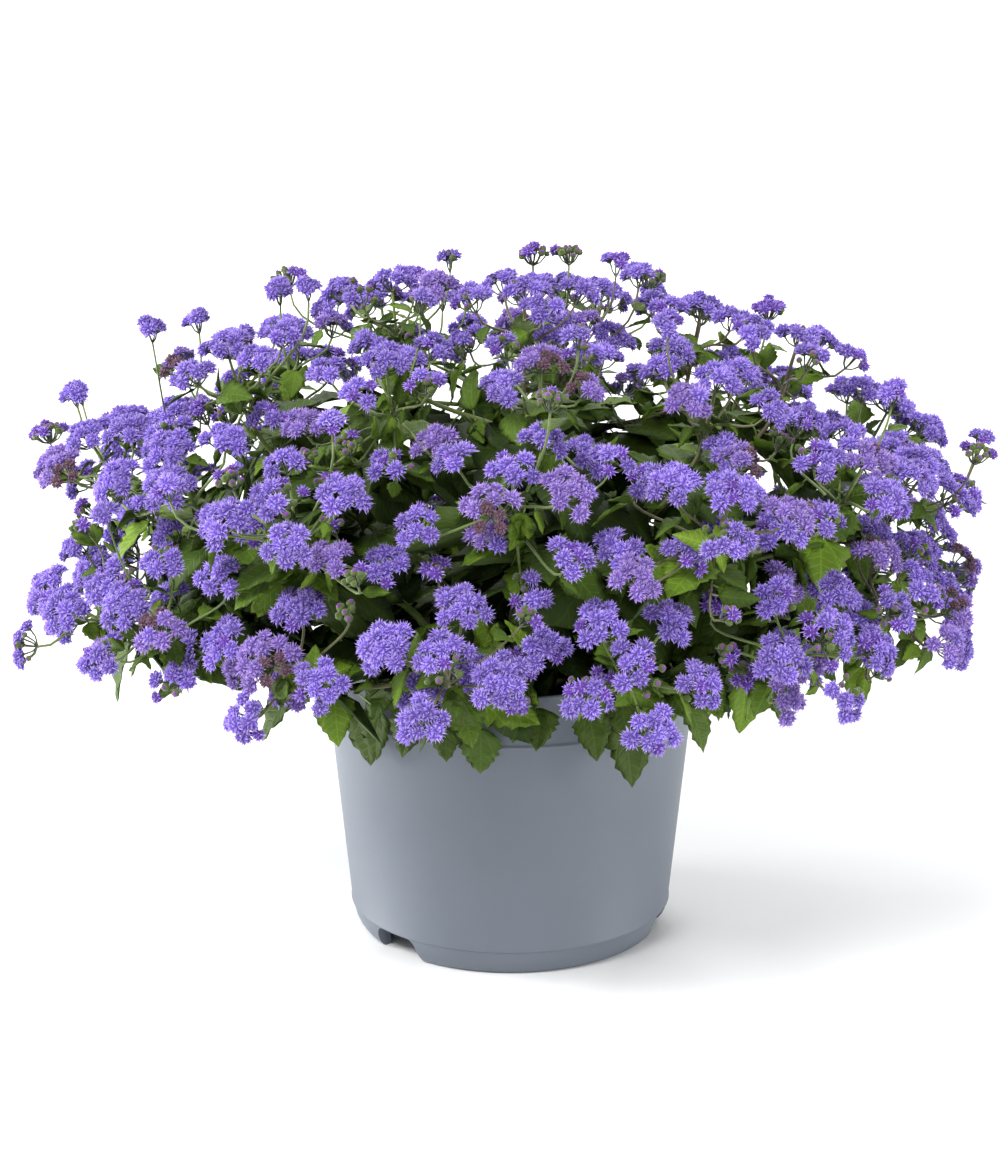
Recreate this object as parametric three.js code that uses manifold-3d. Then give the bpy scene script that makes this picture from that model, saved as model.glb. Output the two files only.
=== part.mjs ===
// A potted ageratum (floss flower): a mound of blue-violet corymbs over toothed leaves, in a round
// nursery container that stands on a notched skirt.
//
// Millimetres, +Z up, on the surface that the pot stands on. The front of the plant faces -Y, and
// the origin is under the middle of the plant's box. Every random draw is seeded, so each build is
// the same plant.
//
// The nodes are the pot, the potting compost, one leafy shoot for each branched main stem, and one
// bloom spray for each group of corymbs that holds together at a stem tip.

import * as THREE from "three";
import { mergeVertices } from "three/addons/utils/BufferGeometryUtils.js";
import Module from "manifold-3d";

const wasm = await Module();
wasm.setup();

// ---------------------------------------------------------------- driving dimensions

const POT = {
  height: 179,
  rimRadius: 113.5, // outside, at the top edge
  bandRadius: 112, // outside, at the rim band's lower edge
  bandBottom: 147, // height of the rim band's lower edge
  bandStep: 1.7, // how far the band stands out from the wall
  seamRadius: 97, // outside, where the wall turns in towards the foot
  seamHeight: 15.6,
  footRadius: 88.5,
  wall: 2.2,
  skirt: 4, // thickness of the skirt that it stands on
  sides: 36,
};
const NOTCH = { azimuths: [-46, 74, 194], width: 33, slant: 1.5, corner: 4 };
const DRAIN = { radius: 5, at: 66 };
const COMPOST = { edge: 158, crown: 164, play: 0.3 };

const DOME = { halfWidth: 270, halfDepth: 238, rise: 168, centreHeight: 217, squareness: 2.5 };
const FRONT_LIFT = 6; // degrees that the bloom in front stands higher than at the back
// Rows of bloom sprays from the top of the dome down: how many, on how many shoots, how far from
// upright, where the row starts, and how far from the pot's axis its shoots are rooted. Leaves stand
// round each knot at the whorl's angles from the lowest side, and in pairs along the main stem.
const ROWS = [
  { sprays: 3, shoots: 1, tilt: 12, start: 20, rootRadius: 0, whorl: [-0.9, 0.9], pairsAt: [4] },
  { sprays: 9, shoots: 3, tilt: 35, start: 8, rootRadius: 26, whorl: [-1, 0, 1], pairsAt: [3, 4] },
  { sprays: 13, shoots: 5, tilt: 60, start: 0, rootRadius: 52, whorl: [-1.2, 0, 1.2], pairsAt: [3, 4] },
  { sprays: 16, shoots: 7, tilt: 88, start: 14, rootRadius: 80, whorl: [-1.3, 0, 1.3], pairsAt: [2, 3, 4] },
];
// A spray is a crowning corymb with some lateral corymbs joined to it, each a little lower.
const SPRAY = { spacing: 33, drop: 5, knotDepth: 44, towardsNormal: 0.8, towardsSky: 0.45 };
const LATERALS = { few: 4, many: 5, manyShare: 0.35 };
const CORYMB = { crowning: 21, lateral: 18.5, heads: 5, crown: 12, foot: 7, lean: 0.35,
  reach: 1.06, clearance: 1.2 };
const JOSTLE = { rounds: 160, damping: 0.3, fanDamping: 0.6, homing: 0.02, fanned: 0.97 };
const STEM = { root: 2.8, peduncle: 1.6, tip: 1, ray: 0.85, rayStep: 4, sunk: 26, holePlay: 0.5,
  reach: 5, leastOutward: 0.4, inset: 0.3, apart: 3 };
const RAYS = [1, 3]; // the lateral corymbs of a spray that have a ray of their own
const LEAF = { length: 40, width: 29, thickness: 1.2, fold: 0.2, sag: 0.3, clearance: 0.35,
  foot: 0.8, rootLength: 2, ways: 20 };
const SEAT_GAP = 0.35; // left between a ray and the corymb that it carries

const COLOURS = { pot: 0x8d98a3, compost: 0x3a2a1e, foliage: 0x3f6b24, bloom: 0x8068dc };

// ---------------------------------------------------------------- small helpers

const UP = new THREE.Vector3(0, 0, 1);
const radians = THREE.MathUtils.degToRad;
const vec = (x, y, z) => new THREE.Vector3(x, y, z);
const range = (n) => Array.from({ length: n }, (_, i) => i);

// A seeded stream of draws, evenly spread from low to high.
function stream(seed) {
  let state = seed * 7919 + 12345;
  return (low, high) => {
    state = (state * 16807) % 2147483647;
    return low + ((high - low) * state) / 2147483647;
  };
}

// A level direction: azimuth 0 is the front, -Y, and 90 is +X.
const heading = (azimuth) => vec(Math.sin(radians(azimuth)), -Math.cos(radians(azimuth)), 0);

// A closed solid from its corners and triangles.
function solidOf({ corners, triangles }) {
  return new wasm.Manifold(
    new wasm.Mesh({
      numProp: 3,
      vertProperties: new Float32Array(corners.flatMap((p) => [p.x, p.y, p.z])),
      triVerts: new Uint32Array(triangles.flat()),
    }),
  );
}

// A closed solid from a three.js geometry, with its seams welded and its collapsed faces dropped.
function solidFrom(geometry) {
  geometry.deleteAttribute("normal");
  geometry.deleteAttribute("uv");
  const welded = mergeVertices(geometry, 1e-4);
  const place = welded.getAttribute("position");
  const corners = range(place.count).map((i) => new THREE.Vector3().fromBufferAttribute(place, i));
  const index = [...welded.getIndex().array];
  const triangles = range(index.length / 3)
    .map((i) => index.slice(3 * i, 3 * i + 3))
    .filter(([a, b, c]) => a !== b && b !== c && c !== a);
  return solidOf({ corners, triangles });
}

function meshOf(name, solid, colour, roughness) {
  const { numVert, numProp, vertProperties, triVerts } = solid.getMesh();
  const place = new Float32Array(numVert * 3);
  range(numVert).forEach((i) => place.set(vertProperties.subarray(i * numProp, i * numProp + 3), i * 3));
  const geometry = new THREE.BufferGeometry();
  geometry.setAttribute("position", new THREE.BufferAttribute(place, 3));
  geometry.setIndex(new THREE.BufferAttribute(new Uint32Array(triVerts), 1));
  geometry.computeVertexNormals();
  const mesh = new THREE.Mesh(
    geometry,
    new THREE.MeshStandardMaterial({ color: colour, roughness, metalness: 0 }),
  );
  mesh.name = name;
  return mesh;
}

// Axes at a point with z along facing and x as near as can be to another direction.
function axesAlong(origin, direction, facing) {
  const z = facing.clone().normalize();
  const x = direction.clone().addScaledVector(z, -z.dot(direction)).normalize();
  return new THREE.Matrix4().makeBasis(x, z.clone().cross(x), z).setPosition(origin);
}

// A body that grows corner by corner. Its bark is the faces that a limb can leave through, its feet
// are where limbs left, and a ring is a list of corners, counter-clockwise from outside.
function newBody() {
  const corners = [];
  const triangles = [];
  const bark = new Set();
  const feet = [];
  const add = (point) => corners.push(point) - 1;
  const cover = (...faces) => {
    faces.forEach((face) => bark.add(face));
    triangles.push(...faces);
  };
  return { corners, triangles, bark, feet, add, cover };
}

function addRing(body, centre, along, side, radius, sides) {
  side.addScaledVector(along, -side.dot(along)).normalize();
  const across = along.clone().cross(side);
  return range(sides).map((k) => {
    const angle = (2 * Math.PI * k) / sides;
    const corner = centre.clone().addScaledVector(side, radius * Math.cos(angle));
    return body.add(corner.addScaledVector(across, radius * Math.sin(angle)));
  });
}

function closeRing(body, ring) {
  range(ring.length - 2).forEach((k) => body.triangles.push([ring[0], ring[k + 1], ring[k + 2]]));
}

function centreOf(body, ring) {
  const sum = vec(0, 0, 0);
  ring.forEach((corner) => sum.add(body.corners[corner]));
  return sum.divideScalar(ring.length);
}

// The two triangles of a four-cornered face, folded so that it bulges rather than sinks.
function foldedOut({ corners }, [a, b, c, d]) {
  const [from, over, far, last] = [a, b, c, d].map((corner) => corners[corner]);
  const front = over.clone().sub(from).cross(far.clone().sub(from));
  const sinks = last.clone().sub(from).dot(front) > 0;
  return sinks ? [[a, b, d], [b, c, d]] : [[a, b, c], [a, c, d]];
}

// Carries a tube on from a ring at the first of its points through the others, and closes its end
// square to the way it arrives.
function carryOn(body, ring, points, startRadius, endRadius, arrive) {
  const side = body.corners[ring[0]].clone().sub(centreOf(body, ring));
  const last = points.length - 1;
  const end = points.slice(1).reduce((before, point, i) => {
    const ahead = points[Math.min(i + 2, last)].clone().sub(points[i]).normalize();
    const along = i + 1 < last ? ahead : arrive;
    const radius = startRadius + ((endRadius - startRadius) * (i + 1)) / last;
    const after = addRing(body, point, along, side, radius, ring.length);
    ring.forEach((_, k) => {
      const next = (k + 1) % ring.length;
      const four = [before[k], before[next], after[next], after[k]];
      body.cover(...foldedOut(body, four));
    });
    return after;
  }, ring);
  closeRing(body, end);
}

// Finds the face of bark that a limb leaves through, and the middle of its foot there, some way in
// from the face's edges. The seat is on the stem's centre line.
function findFace({ corners, bark, feet }, seat, direction) {
  const aim = direction.clone().normalize();
  const spots = [...bark].flatMap((triangle) => {
    const [a, b, c] = triangle.map((corner) => corners[corner]);
    const sides = [b.distanceTo(c), c.distanceTo(a), a.distanceTo(b)];
    const round = sides[0] + sides[1] + sides[2];
    const face = new THREE.Triangle(a, b, c);
    const keep = 1 - (STEM.inset * round) / (2 * face.getArea());
    const outward = face.getNormal(vec(0, 0, 0)).dot(aim);
    if (keep < 0.05 || outward < STEM.leastOutward) return [];
    const heart = vec(0, 0, 0);
    [a, b, c].forEach((corner, i) => heart.addScaledVector(corner, sides[i] / round));
    const inner = new THREE.Triangle(...[a, b, c].map((corner) => heart.clone().lerp(corner, keep)));
    const middle = inner.closestPointToPoint(seat.clone().add(aim), vec(0, 0, 0));
    const reach = middle.distanceTo(seat);
    const isFree = feet.every((foot) => foot.distanceTo(middle) > STEM.apart);
    return isFree && reach < STEM.reach ? [{ triangle, face, middle, rank: 2 * outward - reach }] : [];
  });
  return spots.sort((one, other) => other.rank - one.rank)[0];
}

// Opens a small three-cornered place in a face, longest the way the face is long, and gives the ring
// round it.
function openFace(body, { triangle, face, middle }, radius) {
  const { corners, triangles, bark, feet, add } = body;
  const normal = face.getNormal(vec(0, 0, 0));
  const edges = range(3).map((k) => {
    const [from, to] = [triangle[k], triangle[(k + 1) % 3]].map((corner) => corners[corner]);
    const run = to.clone().sub(from);
    const out = run.clone().cross(normal).normalize();
    return { length: run.length(), out, room: from.clone().sub(middle).dot(out) };
  });
  const least = Math.min(...edges.map(({ length }) => length));
  const b = edges.findIndex(({ length }) => length === least);
  const [base, left, right] = [edges[b], edges[(b + 1) % 3], edges[(b + 2) % 3]];
  const low = middle.clone().addScaledVector(base.out, Math.min(radius, base.room * 0.6));
  const ring = [];
  ring[b] = low.clone().addScaledVector(right.out, right.room * 0.6);
  ring[(b + 1) % 3] = low.clone().addScaledVector(left.out, left.room * 0.6);
  ring[(b + 2) % 3] = middle.clone().addScaledVector(base.out, -radius);
  const opening = ring.map(add);
  triangles.splice(triangles.indexOf(triangle), 1);
  bark.delete(triangle);
  feet.push(middle);
  range(3).forEach((k) => {
    const next = (k + 1) % 3;
    triangles.push([triangle[k], triangle[next], opening[next]]);
    triangles.push([triangle[k], opening[next], opening[k]]);
  });
  return opening;
}

// ---------------------------------------------------------------- pot and compost

// A solid of revolution about Z, from (radius, height) pairs that start and end on the axis.
function turned(profile) {
  const outline = profile.map(([r, z]) => new THREE.Vector2(r, z));
  return solidFrom(new THREE.LatheGeometry(outline, POT.sides).rotateX(Math.PI / 2));
}

function upright(radius, sides, bottom, top) {
  const geometry = new THREE.CylinderGeometry(radius, radius, top - bottom, sides);
  return solidFrom(geometry.rotateX(Math.PI / 2)).translate([0, 0, (top + bottom) / 2]);
}

function notches() {
  const { width, slant, corner, azimuths } = NOTCH;
  const half = width / 2;
  const top = POT.seamHeight;
  const arch = new THREE.Shape([
    new THREE.Vector2(-half - slant, -1),
    new THREE.Vector2(half + slant, -1),
    new THREE.Vector2(half, top - corner),
    new THREE.Vector2(half - corner, top),
    new THREE.Vector2(-half + corner, top),
    new THREE.Vector2(-half, top - corner),
  ]);
  const cut = new THREE.ExtrudeGeometry(arch, { depth: 60, bevelEnabled: false });
  const one = solidFrom(cut.rotateX(Math.PI / 2)).translate([0, -50, 0]);
  return wasm.Manifold.union(azimuths.map((azimuth) => one.rotate([0, 0, azimuth])));
}

function drains() {
  const hole = upright(DRAIN.radius, 8, 0, 40);
  const all = NOTCH.azimuths.map((azimuth) => {
    const { x, y } = heading(azimuth).multiplyScalar(DRAIN.at);
    return hole.translate([x, y, 0]);
  });
  return wasm.Manifold.union(all);
}

// The room inside the pot, shrunk by some play all round.
function room(play) {
  const { height, rimRadius, bandRadius, bandBottom, seamRadius, seamHeight, wall } = POT;
  const floor = seamHeight + wall + 0.4 + play;
  return turned([
    [0, floor],
    [seamRadius - wall - play, floor],
    [bandRadius - wall - 1.6 - play, bandBottom],
    [rimRadius - wall - play, height + 1],
    [0, height + 1],
  ]);
}

function potSolid() {
  const { height, rimRadius, bandRadius, bandBottom, bandStep } = POT;
  const { seamRadius, seamHeight, footRadius, skirt } = POT;
  const outside = turned([
    [0, seamHeight + 0.4],
    [footRadius - skirt + 2, seamHeight + 0.4],
    [footRadius - skirt, 0],
    [footRadius, 0],
    [footRadius + 3.3, 2],
    [footRadius + 6.3, 7],
    [seamRadius, seamHeight],
    [bandRadius - bandStep, bandBottom - bandStep],
    [bandRadius, bandBottom],
    [rimRadius, height - 1.2],
    [rimRadius - 0.8, height],
    [0, height],
  ]);
  return outside.subtract(notches()).subtract(room(0)).subtract(drains());
}

function compostSolid(roots) {
  const { edge, crown, play } = COMPOST;
  const mound = turned([
    [0, 0],
    [POT.rimRadius, 0],
    [POT.rimRadius, edge],
    [0, crown],
  ]);
  const hole = upright(STEM.root + STEM.holePlay, 4, COMPOST.crown - STEM.sunk - SEAT_GAP, 200);
  const holes = wasm.Manifold.union(roots.map(({ x, y }) => hole.translate([x, y, 0])));
  return room(play).intersect(mound).subtract(holes);
}

// ---------------------------------------------------------------- where the blooms stand

// A point on the dome of bloom, and the way the dome faces there.
function onDome(azimuth, tilt, reach) {
  const { halfWidth, halfDepth, rise, centreHeight, squareness } = DOME;
  const out = Math.sin(radians(tilt));
  const up = Math.cos(radians(tilt));
  const swell = (out ** squareness + Math.abs(up) ** squareness) ** (-1 / squareness) * reach;
  const { x, y } = heading(azimuth);
  const place = vec(
    halfWidth * swell * out * x,
    halfDepth * swell * out * y,
    centreHeight + rise * swell * up,
  );
  const normal = vec(
    place.x / halfWidth ** 2,
    place.y / halfDepth ** 2,
    (place.z - centreHeight) / rise ** 2,
  );
  return { place, normal: normal.normalize() };
}

function laySpray(row, level, i) {
  const draw = stream(100 * level + i + 1);
  const azimuth = row.start + (360 / row.sprays) * (i + draw(-0.12, 0.12));
  const lift = FRONT_LIFT * Math.max(0, Math.cos(radians(azimuth)));
  const { place, normal } = onDome(azimuth, row.tilt - lift + draw(-5, 5), draw(0.95, 1.04));
  const facing = normal.multiplyScalar(SPRAY.towardsNormal).addScaledVector(UP, SPRAY.towardsSky);
  facing.normalize();
  const axes = axesAlong(place, heading(draw(0, 360)), facing);
  const laterals = draw(0, 1) < LATERALS.manyShare ? LATERALS.many : LATERALS.few;
  const corymbs = range(laterals + 1).map((k) => {
    const angle = (2 * Math.PI * k) / laterals + draw(-0.15, 0.15);
    const offset = vec(Math.cos(angle), Math.sin(angle), 0).multiplyScalar(k ? SPRAY.spacing : 0);
    return {
      centre: offset.applyMatrix4(axes),
      radius: (k ? CORYMB.lateral : CORYMB.crowning) * draw(0.92, 1.06),
      drop: k ? SPRAY.drop + draw(-1.5, 1.5) : 0,
    };
  });
  return { level, azimuth, place, facing, corymbs, seed: Math.floor(draw(1, 9999)) };
}

// Corymbs of different sprays push each other away until they are clear, while the laterals of one
// spray stay on a circle round its crowning one, spread out like a fan. What is still too close in the
// end is trimmed.
function jostle(sprays) {
  const all = sprays.flatMap((spray) => spray.corymbs.map((corymb, k) => ({ corymb, spray, k })));
  const homes = sprays.map(({ place }) => place.clone());
  range(JOSTLE.rounds).forEach(() => {
    all.forEach(({ corymb }) => (corymb.move = vec(0, 0, 0)));
    all.forEach((a, i) =>
      all.slice(i + 1).forEach((b) => {
        const sameSpray = a.spray === b.spray;
        if (sameSpray && a.k === 0) return;
        const away = b.corymb.centre.clone().sub(a.corymb.centre);
        const apart = away.length();
        const fan = 2 * SPRAY.spacing * Math.sin(Math.PI / (a.spray.corymbs.length - 1));
        const wanted = sameSpray
          ? fan * JOSTLE.fanned
          : (a.corymb.radius + b.corymb.radius + CORYMB.clearance) * CORYMB.reach;
        if (apart >= wanted) return;
        const damping = sameSpray ? JOSTLE.fanDamping : JOSTLE.damping;
        away.multiplyScalar((damping * (wanted - apart)) / apart);
        a.corymb.move.sub(away);
        b.corymb.move.add(away);
      }),
    );
    sprays.forEach(({ place, facing, corymbs }, s) => {
      const drift = homes[s].clone().sub(place).multiplyScalar(JOSTLE.homing);
      corymbs.forEach(({ move }) => drift.addScaledVector(move, 1 / corymbs.length));
      place.add(drift);
      corymbs[0].centre.copy(place);
      corymbs.slice(1).forEach(({ centre, move, drop }) => {
        centre.add(move).sub(place);
        centre.addScaledVector(facing, -centre.dot(facing)).setLength(SPRAY.spacing);
        centre.addScaledVector(facing, -drop).add(place);
      });
    });
  });
  sprays.forEach(({ place, facing, corymbs }) =>
    corymbs.forEach((corymb) => {
      const outward = corymb.centre.clone().sub(place).divideScalar(SPRAY.spacing);
      corymb.facing = facing.clone().addScaledVector(outward, CORYMB.lean).normalize();
    }),
  );
  const trims = all.map((a) => {
    const shares = all.map((b) => {
      if (a === b || (a.spray === b.spray && a.k * b.k === 0)) return 1;
      const apart = a.corymb.centre.distanceTo(b.corymb.centre);
      return (apart / CORYMB.reach - CORYMB.clearance) / (a.corymb.radius + b.corymb.radius);
    });
    return Math.min(...shares, 1);
  });
  all.forEach(({ corymb }, i) => (corymb.radius *= trims[i]));
}

// ---------------------------------------------------------------- blooms

// A spray of corymbs, raised as one surface. A corymb has a crown head and a ring of heads round
// it, each a pointed tuft that stands out of a low core, with the foot below where a ray meets it.
// A lateral corymb shares two tufts and the notch between them with the crowning one.
function spraySolid({ place, facing, corymbs, seed }) {
  const draw = stream(seed);
  const body = newBody();
  const { corners, triangles, add } = body;
  const onRim = (axes, radius, angle, isTip) => {
    const reach = radius * (isTip ? draw(0.94, CORYMB.reach) : draw(0.74, 0.82));
    const height = isTip ? draw(1.5, 4.5) : draw(-2.5, -1.5);
    return vec(reach * Math.cos(angle), reach * Math.sin(angle), height).applyMatrix4(axes);
  };
  const single = (point) => {
    const corner = add(point);
    return { upper: corner, lower: corner };
  };

  // Raises one corymb over its rim, which runs tip, notch, tip, notch and so on.
  const raise = (corymb, rim) => {
    const { centre } = corymb;
    const crown = add(centre.clone().addScaledVector(corymb.facing, CORYMB.crown * draw(0.9, 1.15)));
    const foot = add(footOf(corymb, 0));
    const tips = rim.filter((_, i) => i % 2 === 0);
    const dips = rim.filter((_, i) => i % 2 === 1);
    const valleys = dips.map(({ upper }) => {
      const inward = corners[upper].clone().sub(centre).multiplyScalar(0.62);
      inward.addScaledVector(corymb.facing, CORYMB.crown * draw(0.34, 0.46) - inward.dot(corymb.facing));
      return add(inward.add(centre));
    });
    dips.forEach((dip, i) => {
      const next = (i + 1) % dips.length;
      const tip = tips[next];
      triangles.push([crown, valleys[i], valleys[next]]);
      triangles.push([valleys[i], tip.upper, valleys[next]]);
      triangles.push([valleys[i], dip.upper, tip.upper]);
      triangles.push([valleys[next], tip.upper, dips[next].upper]);
      triangles.push([foot, dip.lower, tips[i].lower]);
      triangles.push([foot, tip.lower, dip.lower]);
    });
  };

  const [crowning, ...laterals] = corymbs;
  const axes = axesAlong(place, laterals[0].centre.clone().sub(place), facing);
  const inverse = axes.clone().invert();
  const bearings = laterals.map(({ centre }, j) => {
    const flat = centre.clone().applyMatrix4(inverse);
    return j ? (Math.atan2(flat.y, flat.x) + 2 * Math.PI) % (2 * Math.PI) : 0;
  });
  const gaps = bearings.map((bearing, j) => {
    const after = j + 1 < laterals.length ? bearings[j + 1] : bearings[0] + 2 * Math.PI;
    return after - bearing;
  });
  const rim = laterals.flatMap((_, j) => {
    const bearing = bearings[j];
    const before = gaps[(j + laterals.length - 1) % laterals.length];
    const spread = Math.min(Math.PI / 2 / laterals.length, 0.4 * before, 0.4 * gaps[j]);
    const after = bearing + gaps[j];
    const near = single(onRim(axes, crowning.radius, bearing - spread, true));
    const upper = add(onRim(axes, crowning.radius, bearing, false));
    const lower = add(corners[upper].clone().addScaledVector(facing, -3));
    const far = single(onRim(axes, crowning.radius, bearing + spread, true));
    const gap = single(onRim(axes, crowning.radius, (bearing + after) / 2, false));
    return [near, { upper, lower }, far, gap];
  });
  raise(crowning, rim);

  laterals.forEach((corymb, j) => {
    const [near, shared, far] = rim.slice(4 * j);
    const own = axesAlong(corymb.centre, corymb.centre.clone().sub(place), corymb.facing);
    const step = Math.PI / CORYMB.heads;
    const free = range(2 * CORYMB.heads - 3).map((k) => {
      const angle = Math.PI + step * (k + 2);
      return single(onRim(own, corymb.radius, angle, k % 2 === 1));
    });
    raise(corymb, [far, shared, near, ...free]);
  });
  return solidOf(body);
}

// ---------------------------------------------------------------- stems

const footOf = ({ centre, facing }, below) => centre.clone().addScaledVector(facing, -CORYMB.foot - below);

// Points from a start that leaves along one direction to an end that arrives along another.
function bend(start, leave, end, arrive, steps) {
  const pull = start.distanceTo(end) * 0.4;
  const curve = new THREE.CubicBezierCurve3(
    start,
    start.clone().addScaledVector(leave, pull),
    end.clone().addScaledVector(arrive, -pull),
    end,
  );
  return curve.getPoints(steps);
}

// The lines that a shoot's stems follow: a main stem that runs up into the middle one of its sprays,
// peduncles that leave it for the others, and rays that leave each spray's knot.
function layShoot(row, level, number, sprays) {
  const lead = sprays[Math.floor(sprays.length / 2)];
  const root = heading(lead.azimuth).multiplyScalar(row.rootRadius);
  const ground = root.clone().setZ(COMPOST.crown + 2);
  const knotOf = ({ place, facing }) => place.clone().addScaledVector(facing, -SPRAY.knotDepth);
  const outward = knotOf(lead).sub(ground).normalize();
  const arriving = ({ facing }) => facing.clone().add(outward).normalize();
  const rise = bend(ground, UP, knotOf(lead), arriving(lead), 5);
  const branches = sprays.map((spray, i) => {
    const knot = knotOf(spray);
    const start = rise[3].clone().lerp(rise[4], i ? 0.7 : 0.3);
    const leave = knot.clone().sub(start).normalize().add(outward).normalize();
    const path = spray === lead ? rise : bend(start, leave, knot, arriving(spray), 2);
    const rays = RAYS.map((k) => {
      const seat = knot.clone().addScaledVector(spray.facing, STEM.rayStep * k);
      return { path: [seat, footOf(spray.corymbs[k], SEAT_GAP)], arrive: spray.corymbs[k].facing };
    });
    return { spray, knot, path: [...path, footOf(spray.corymbs[0], SEAT_GAP)], rays };
  });
  const main = branches.find(({ spray }) => spray === lead);
  main.path.unshift(ground.clone().setZ(COMPOST.crown - STEM.sunk));
  return { row, level, number, root, main, branches };
}

function bareShoot({ main, branches }) {
  const body = newBody();
  const foot = addRing(body, main.path[0], UP, vec(1, 0, 0), STEM.root, 4);
  closeRing(body, [...foot].reverse());
  carryOn(body, foot, main.path, STEM.root, STEM.tip, main.spray.facing);
  const limb = (path, startRadius, endRadius, arrive) => {
    const spot = findFace(body, path[0], path[1].clone().sub(path[0]));
    const ring = openFace(body, spot, startRadius);
    carryOn(body, ring, path, startRadius, endRadius, arrive);
  };
  branches.forEach((branch) => {
    if (branch !== main) limb(branch.path, STEM.peduncle, STEM.tip, branch.spray.facing);
    branch.rays.forEach(({ path, arrive }) => limb(path, STEM.ray, STEM.ray, arrive));
  });
  return body;
}

// ---------------------------------------------------------------- leaves

// Teeth and the notches between them: share of the length, and half width as a part of the width.
const MARGIN = [
  [0.2, 0.36],
  [0.3, 0.56],
  [0.44, 0.42],
  [0.58, 0.5],
  [0.72, 0.26],
];

// The blade of a leaf, folded and arched, thick at the midrib and thin at the toothed edge, with
// some clearance all round. seat is where it leaves its stem, along is the leaf's axis and face the
// way that its upper side looks.
function bladeCorners({ seat, along, face, size }, clearance) {
  const axes = axesAlong(seat, along, face.clone().addScaledVector(along, -face.dot(along)));
  const length = LEAF.length * size;
  const width = LEAF.width * size + 2 * clearance;
  const thick = LEAF.thickness / 2 + clearance;
  const sag = (share) => -LEAF.sag * length * share * share;
  const place = (x, y, z) => vec(x, y, z).applyMatrix4(axes);
  const edge = (side) =>
    MARGIN.map(([share, part]) => {
      const half = part * width;
      return place(share * length, side * half, sag(share) + LEAF.fold * half);
    });
  return {
    axes,
    right: edge(-1),
    left: edge(1),
    upper: place(0.45 * length, 0, sag(0.45) + thick),
    lower: place(0.45 * length, 0, sag(0.45) - thick),
    tip: place(length + clearance, 0, sag(1)),
  };
}

// Grows a blade out of a ring of three corners.
function addBlade(body, ring, blade) {
  const { corners, triangles, add } = body;
  const inverse = blade.axes.clone().invert();
  const across = ring.map((corner) => corners[corner].clone().applyMatrix4(inverse).y);
  const l = across.indexOf(Math.max(...across));
  const onTop = across[(l + 2) % 3] < across[(l + 1) % 3];
  const footLeft = ring[l];
  const footRight = ring[(l + (onTop ? 2 : 1)) % 3];
  const footMiddle = ring[(l + (onTop ? 1 : 2)) % 3];
  const right = blade.right.map(add);
  const left = blade.left.map(add);
  const [upper, lower, tip] = [blade.upper, blade.lower, blade.tip].map(add);
  const flank = (middle, from, rim, flipped) => {
    const put = (a, b, c) => triangles.push(flipped ? [a, c, b] : [a, b, c]);
    const edge = [from, ...rim, tip];
    range(edge.length - 1).forEach((i) => put(edge[i], edge[i + 1], middle));
  };
  flank(upper, footRight, right, false);
  flank(upper, footLeft, left, true);
  flank(lower, footRight, right, true);
  flank(lower, footLeft, left, false);
  const [near, far] = onTop ? [upper, lower] : [lower, upper];
  triangles.push(onTop ? [footMiddle, footRight, near] : [footMiddle, near, footRight]);
  triangles.push(onTop ? [footLeft, footMiddle, near] : [footLeft, near, footMiddle]);
  triangles.push(onTop ? [footRight, footLeft, far] : [footLeft, footRight, far]);
}

// Where a shoot bears its leaves: round each spray's knot, and for a low shoot on its main stem too.
// Each leaf has a few ways that it may grow.
function layLeaves({ row, level, number, main, branches }) {
  const draw = stream(5000 + 100 * level + number);
  const leaves = [];
  const bear = (seat, axis, angle) => {
    const axes = axesAlong(seat, axis.z < 0.95 ? UP : heading(0), axis);
    const ways = range(LEAF.ways).map(() => {
      const round = angle + draw(-0.6, 0.6);
      const lift = draw(-0.1, 0.4);
      const size = draw(0.8, 1.25);
      const along = vec(Math.cos(round), Math.sin(round), 0).transformDirection(axes);
      along.multiplyScalar(Math.cos(lift)).addScaledVector(axis, Math.sin(lift));
      return { seat, along, face: axis.clone().addScaledVector(UP, 0.8).normalize(), size };
    });
    leaves.push(ways);
  };
  branches.forEach(({ spray, knot, path }) => {
    row.whorl.forEach((offset, i) => {
      const seat = knot.clone().lerp(path[path.length - 3], 0.2 * (i + 1));
      bear(seat, spray.facing, Math.PI + offset);
    });
  });
  row.pairsAt.forEach((at) => {
    const axis = main.path[at + 1].clone().sub(main.path[at - 1]).normalize();
    [-1, 1].forEach((side) => {
      const seat = main.path[at].clone().lerp(main.path[at + 1], 0.5 + 0.2 * side);
      bear(seat, axis, Math.PI + 1.1 * side);
    });
  });
  return leaves;
}

// The room that a leaf needs, from a little way off its stem.
function leafRoom(leaf) {
  const probe = newBody();
  const { along, seat } = leaf;
  const start = seat.clone().addScaledVector(along, LEAF.rootLength);
  const ring = addRing(probe, start, along, vec(0, 0, 1), LEAF.clearance, 3);
  closeRing(probe, [...ring].reverse());
  addBlade(probe, ring, bladeCorners(leaf, LEAF.clearance));
  return solidOf(probe);
}

// Whether a blade lies wholly in front of the face that it grows from.
function standsOff({ face, middle }, { right, left, upper, lower, tip }) {
  const front = face.getNormal(vec(0, 0, 0));
  return [...right, ...left, upper, lower, tip].every(
    (corner) => corner.clone().sub(middle).dot(front) > LEAF.clearance,
  );
}

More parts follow.
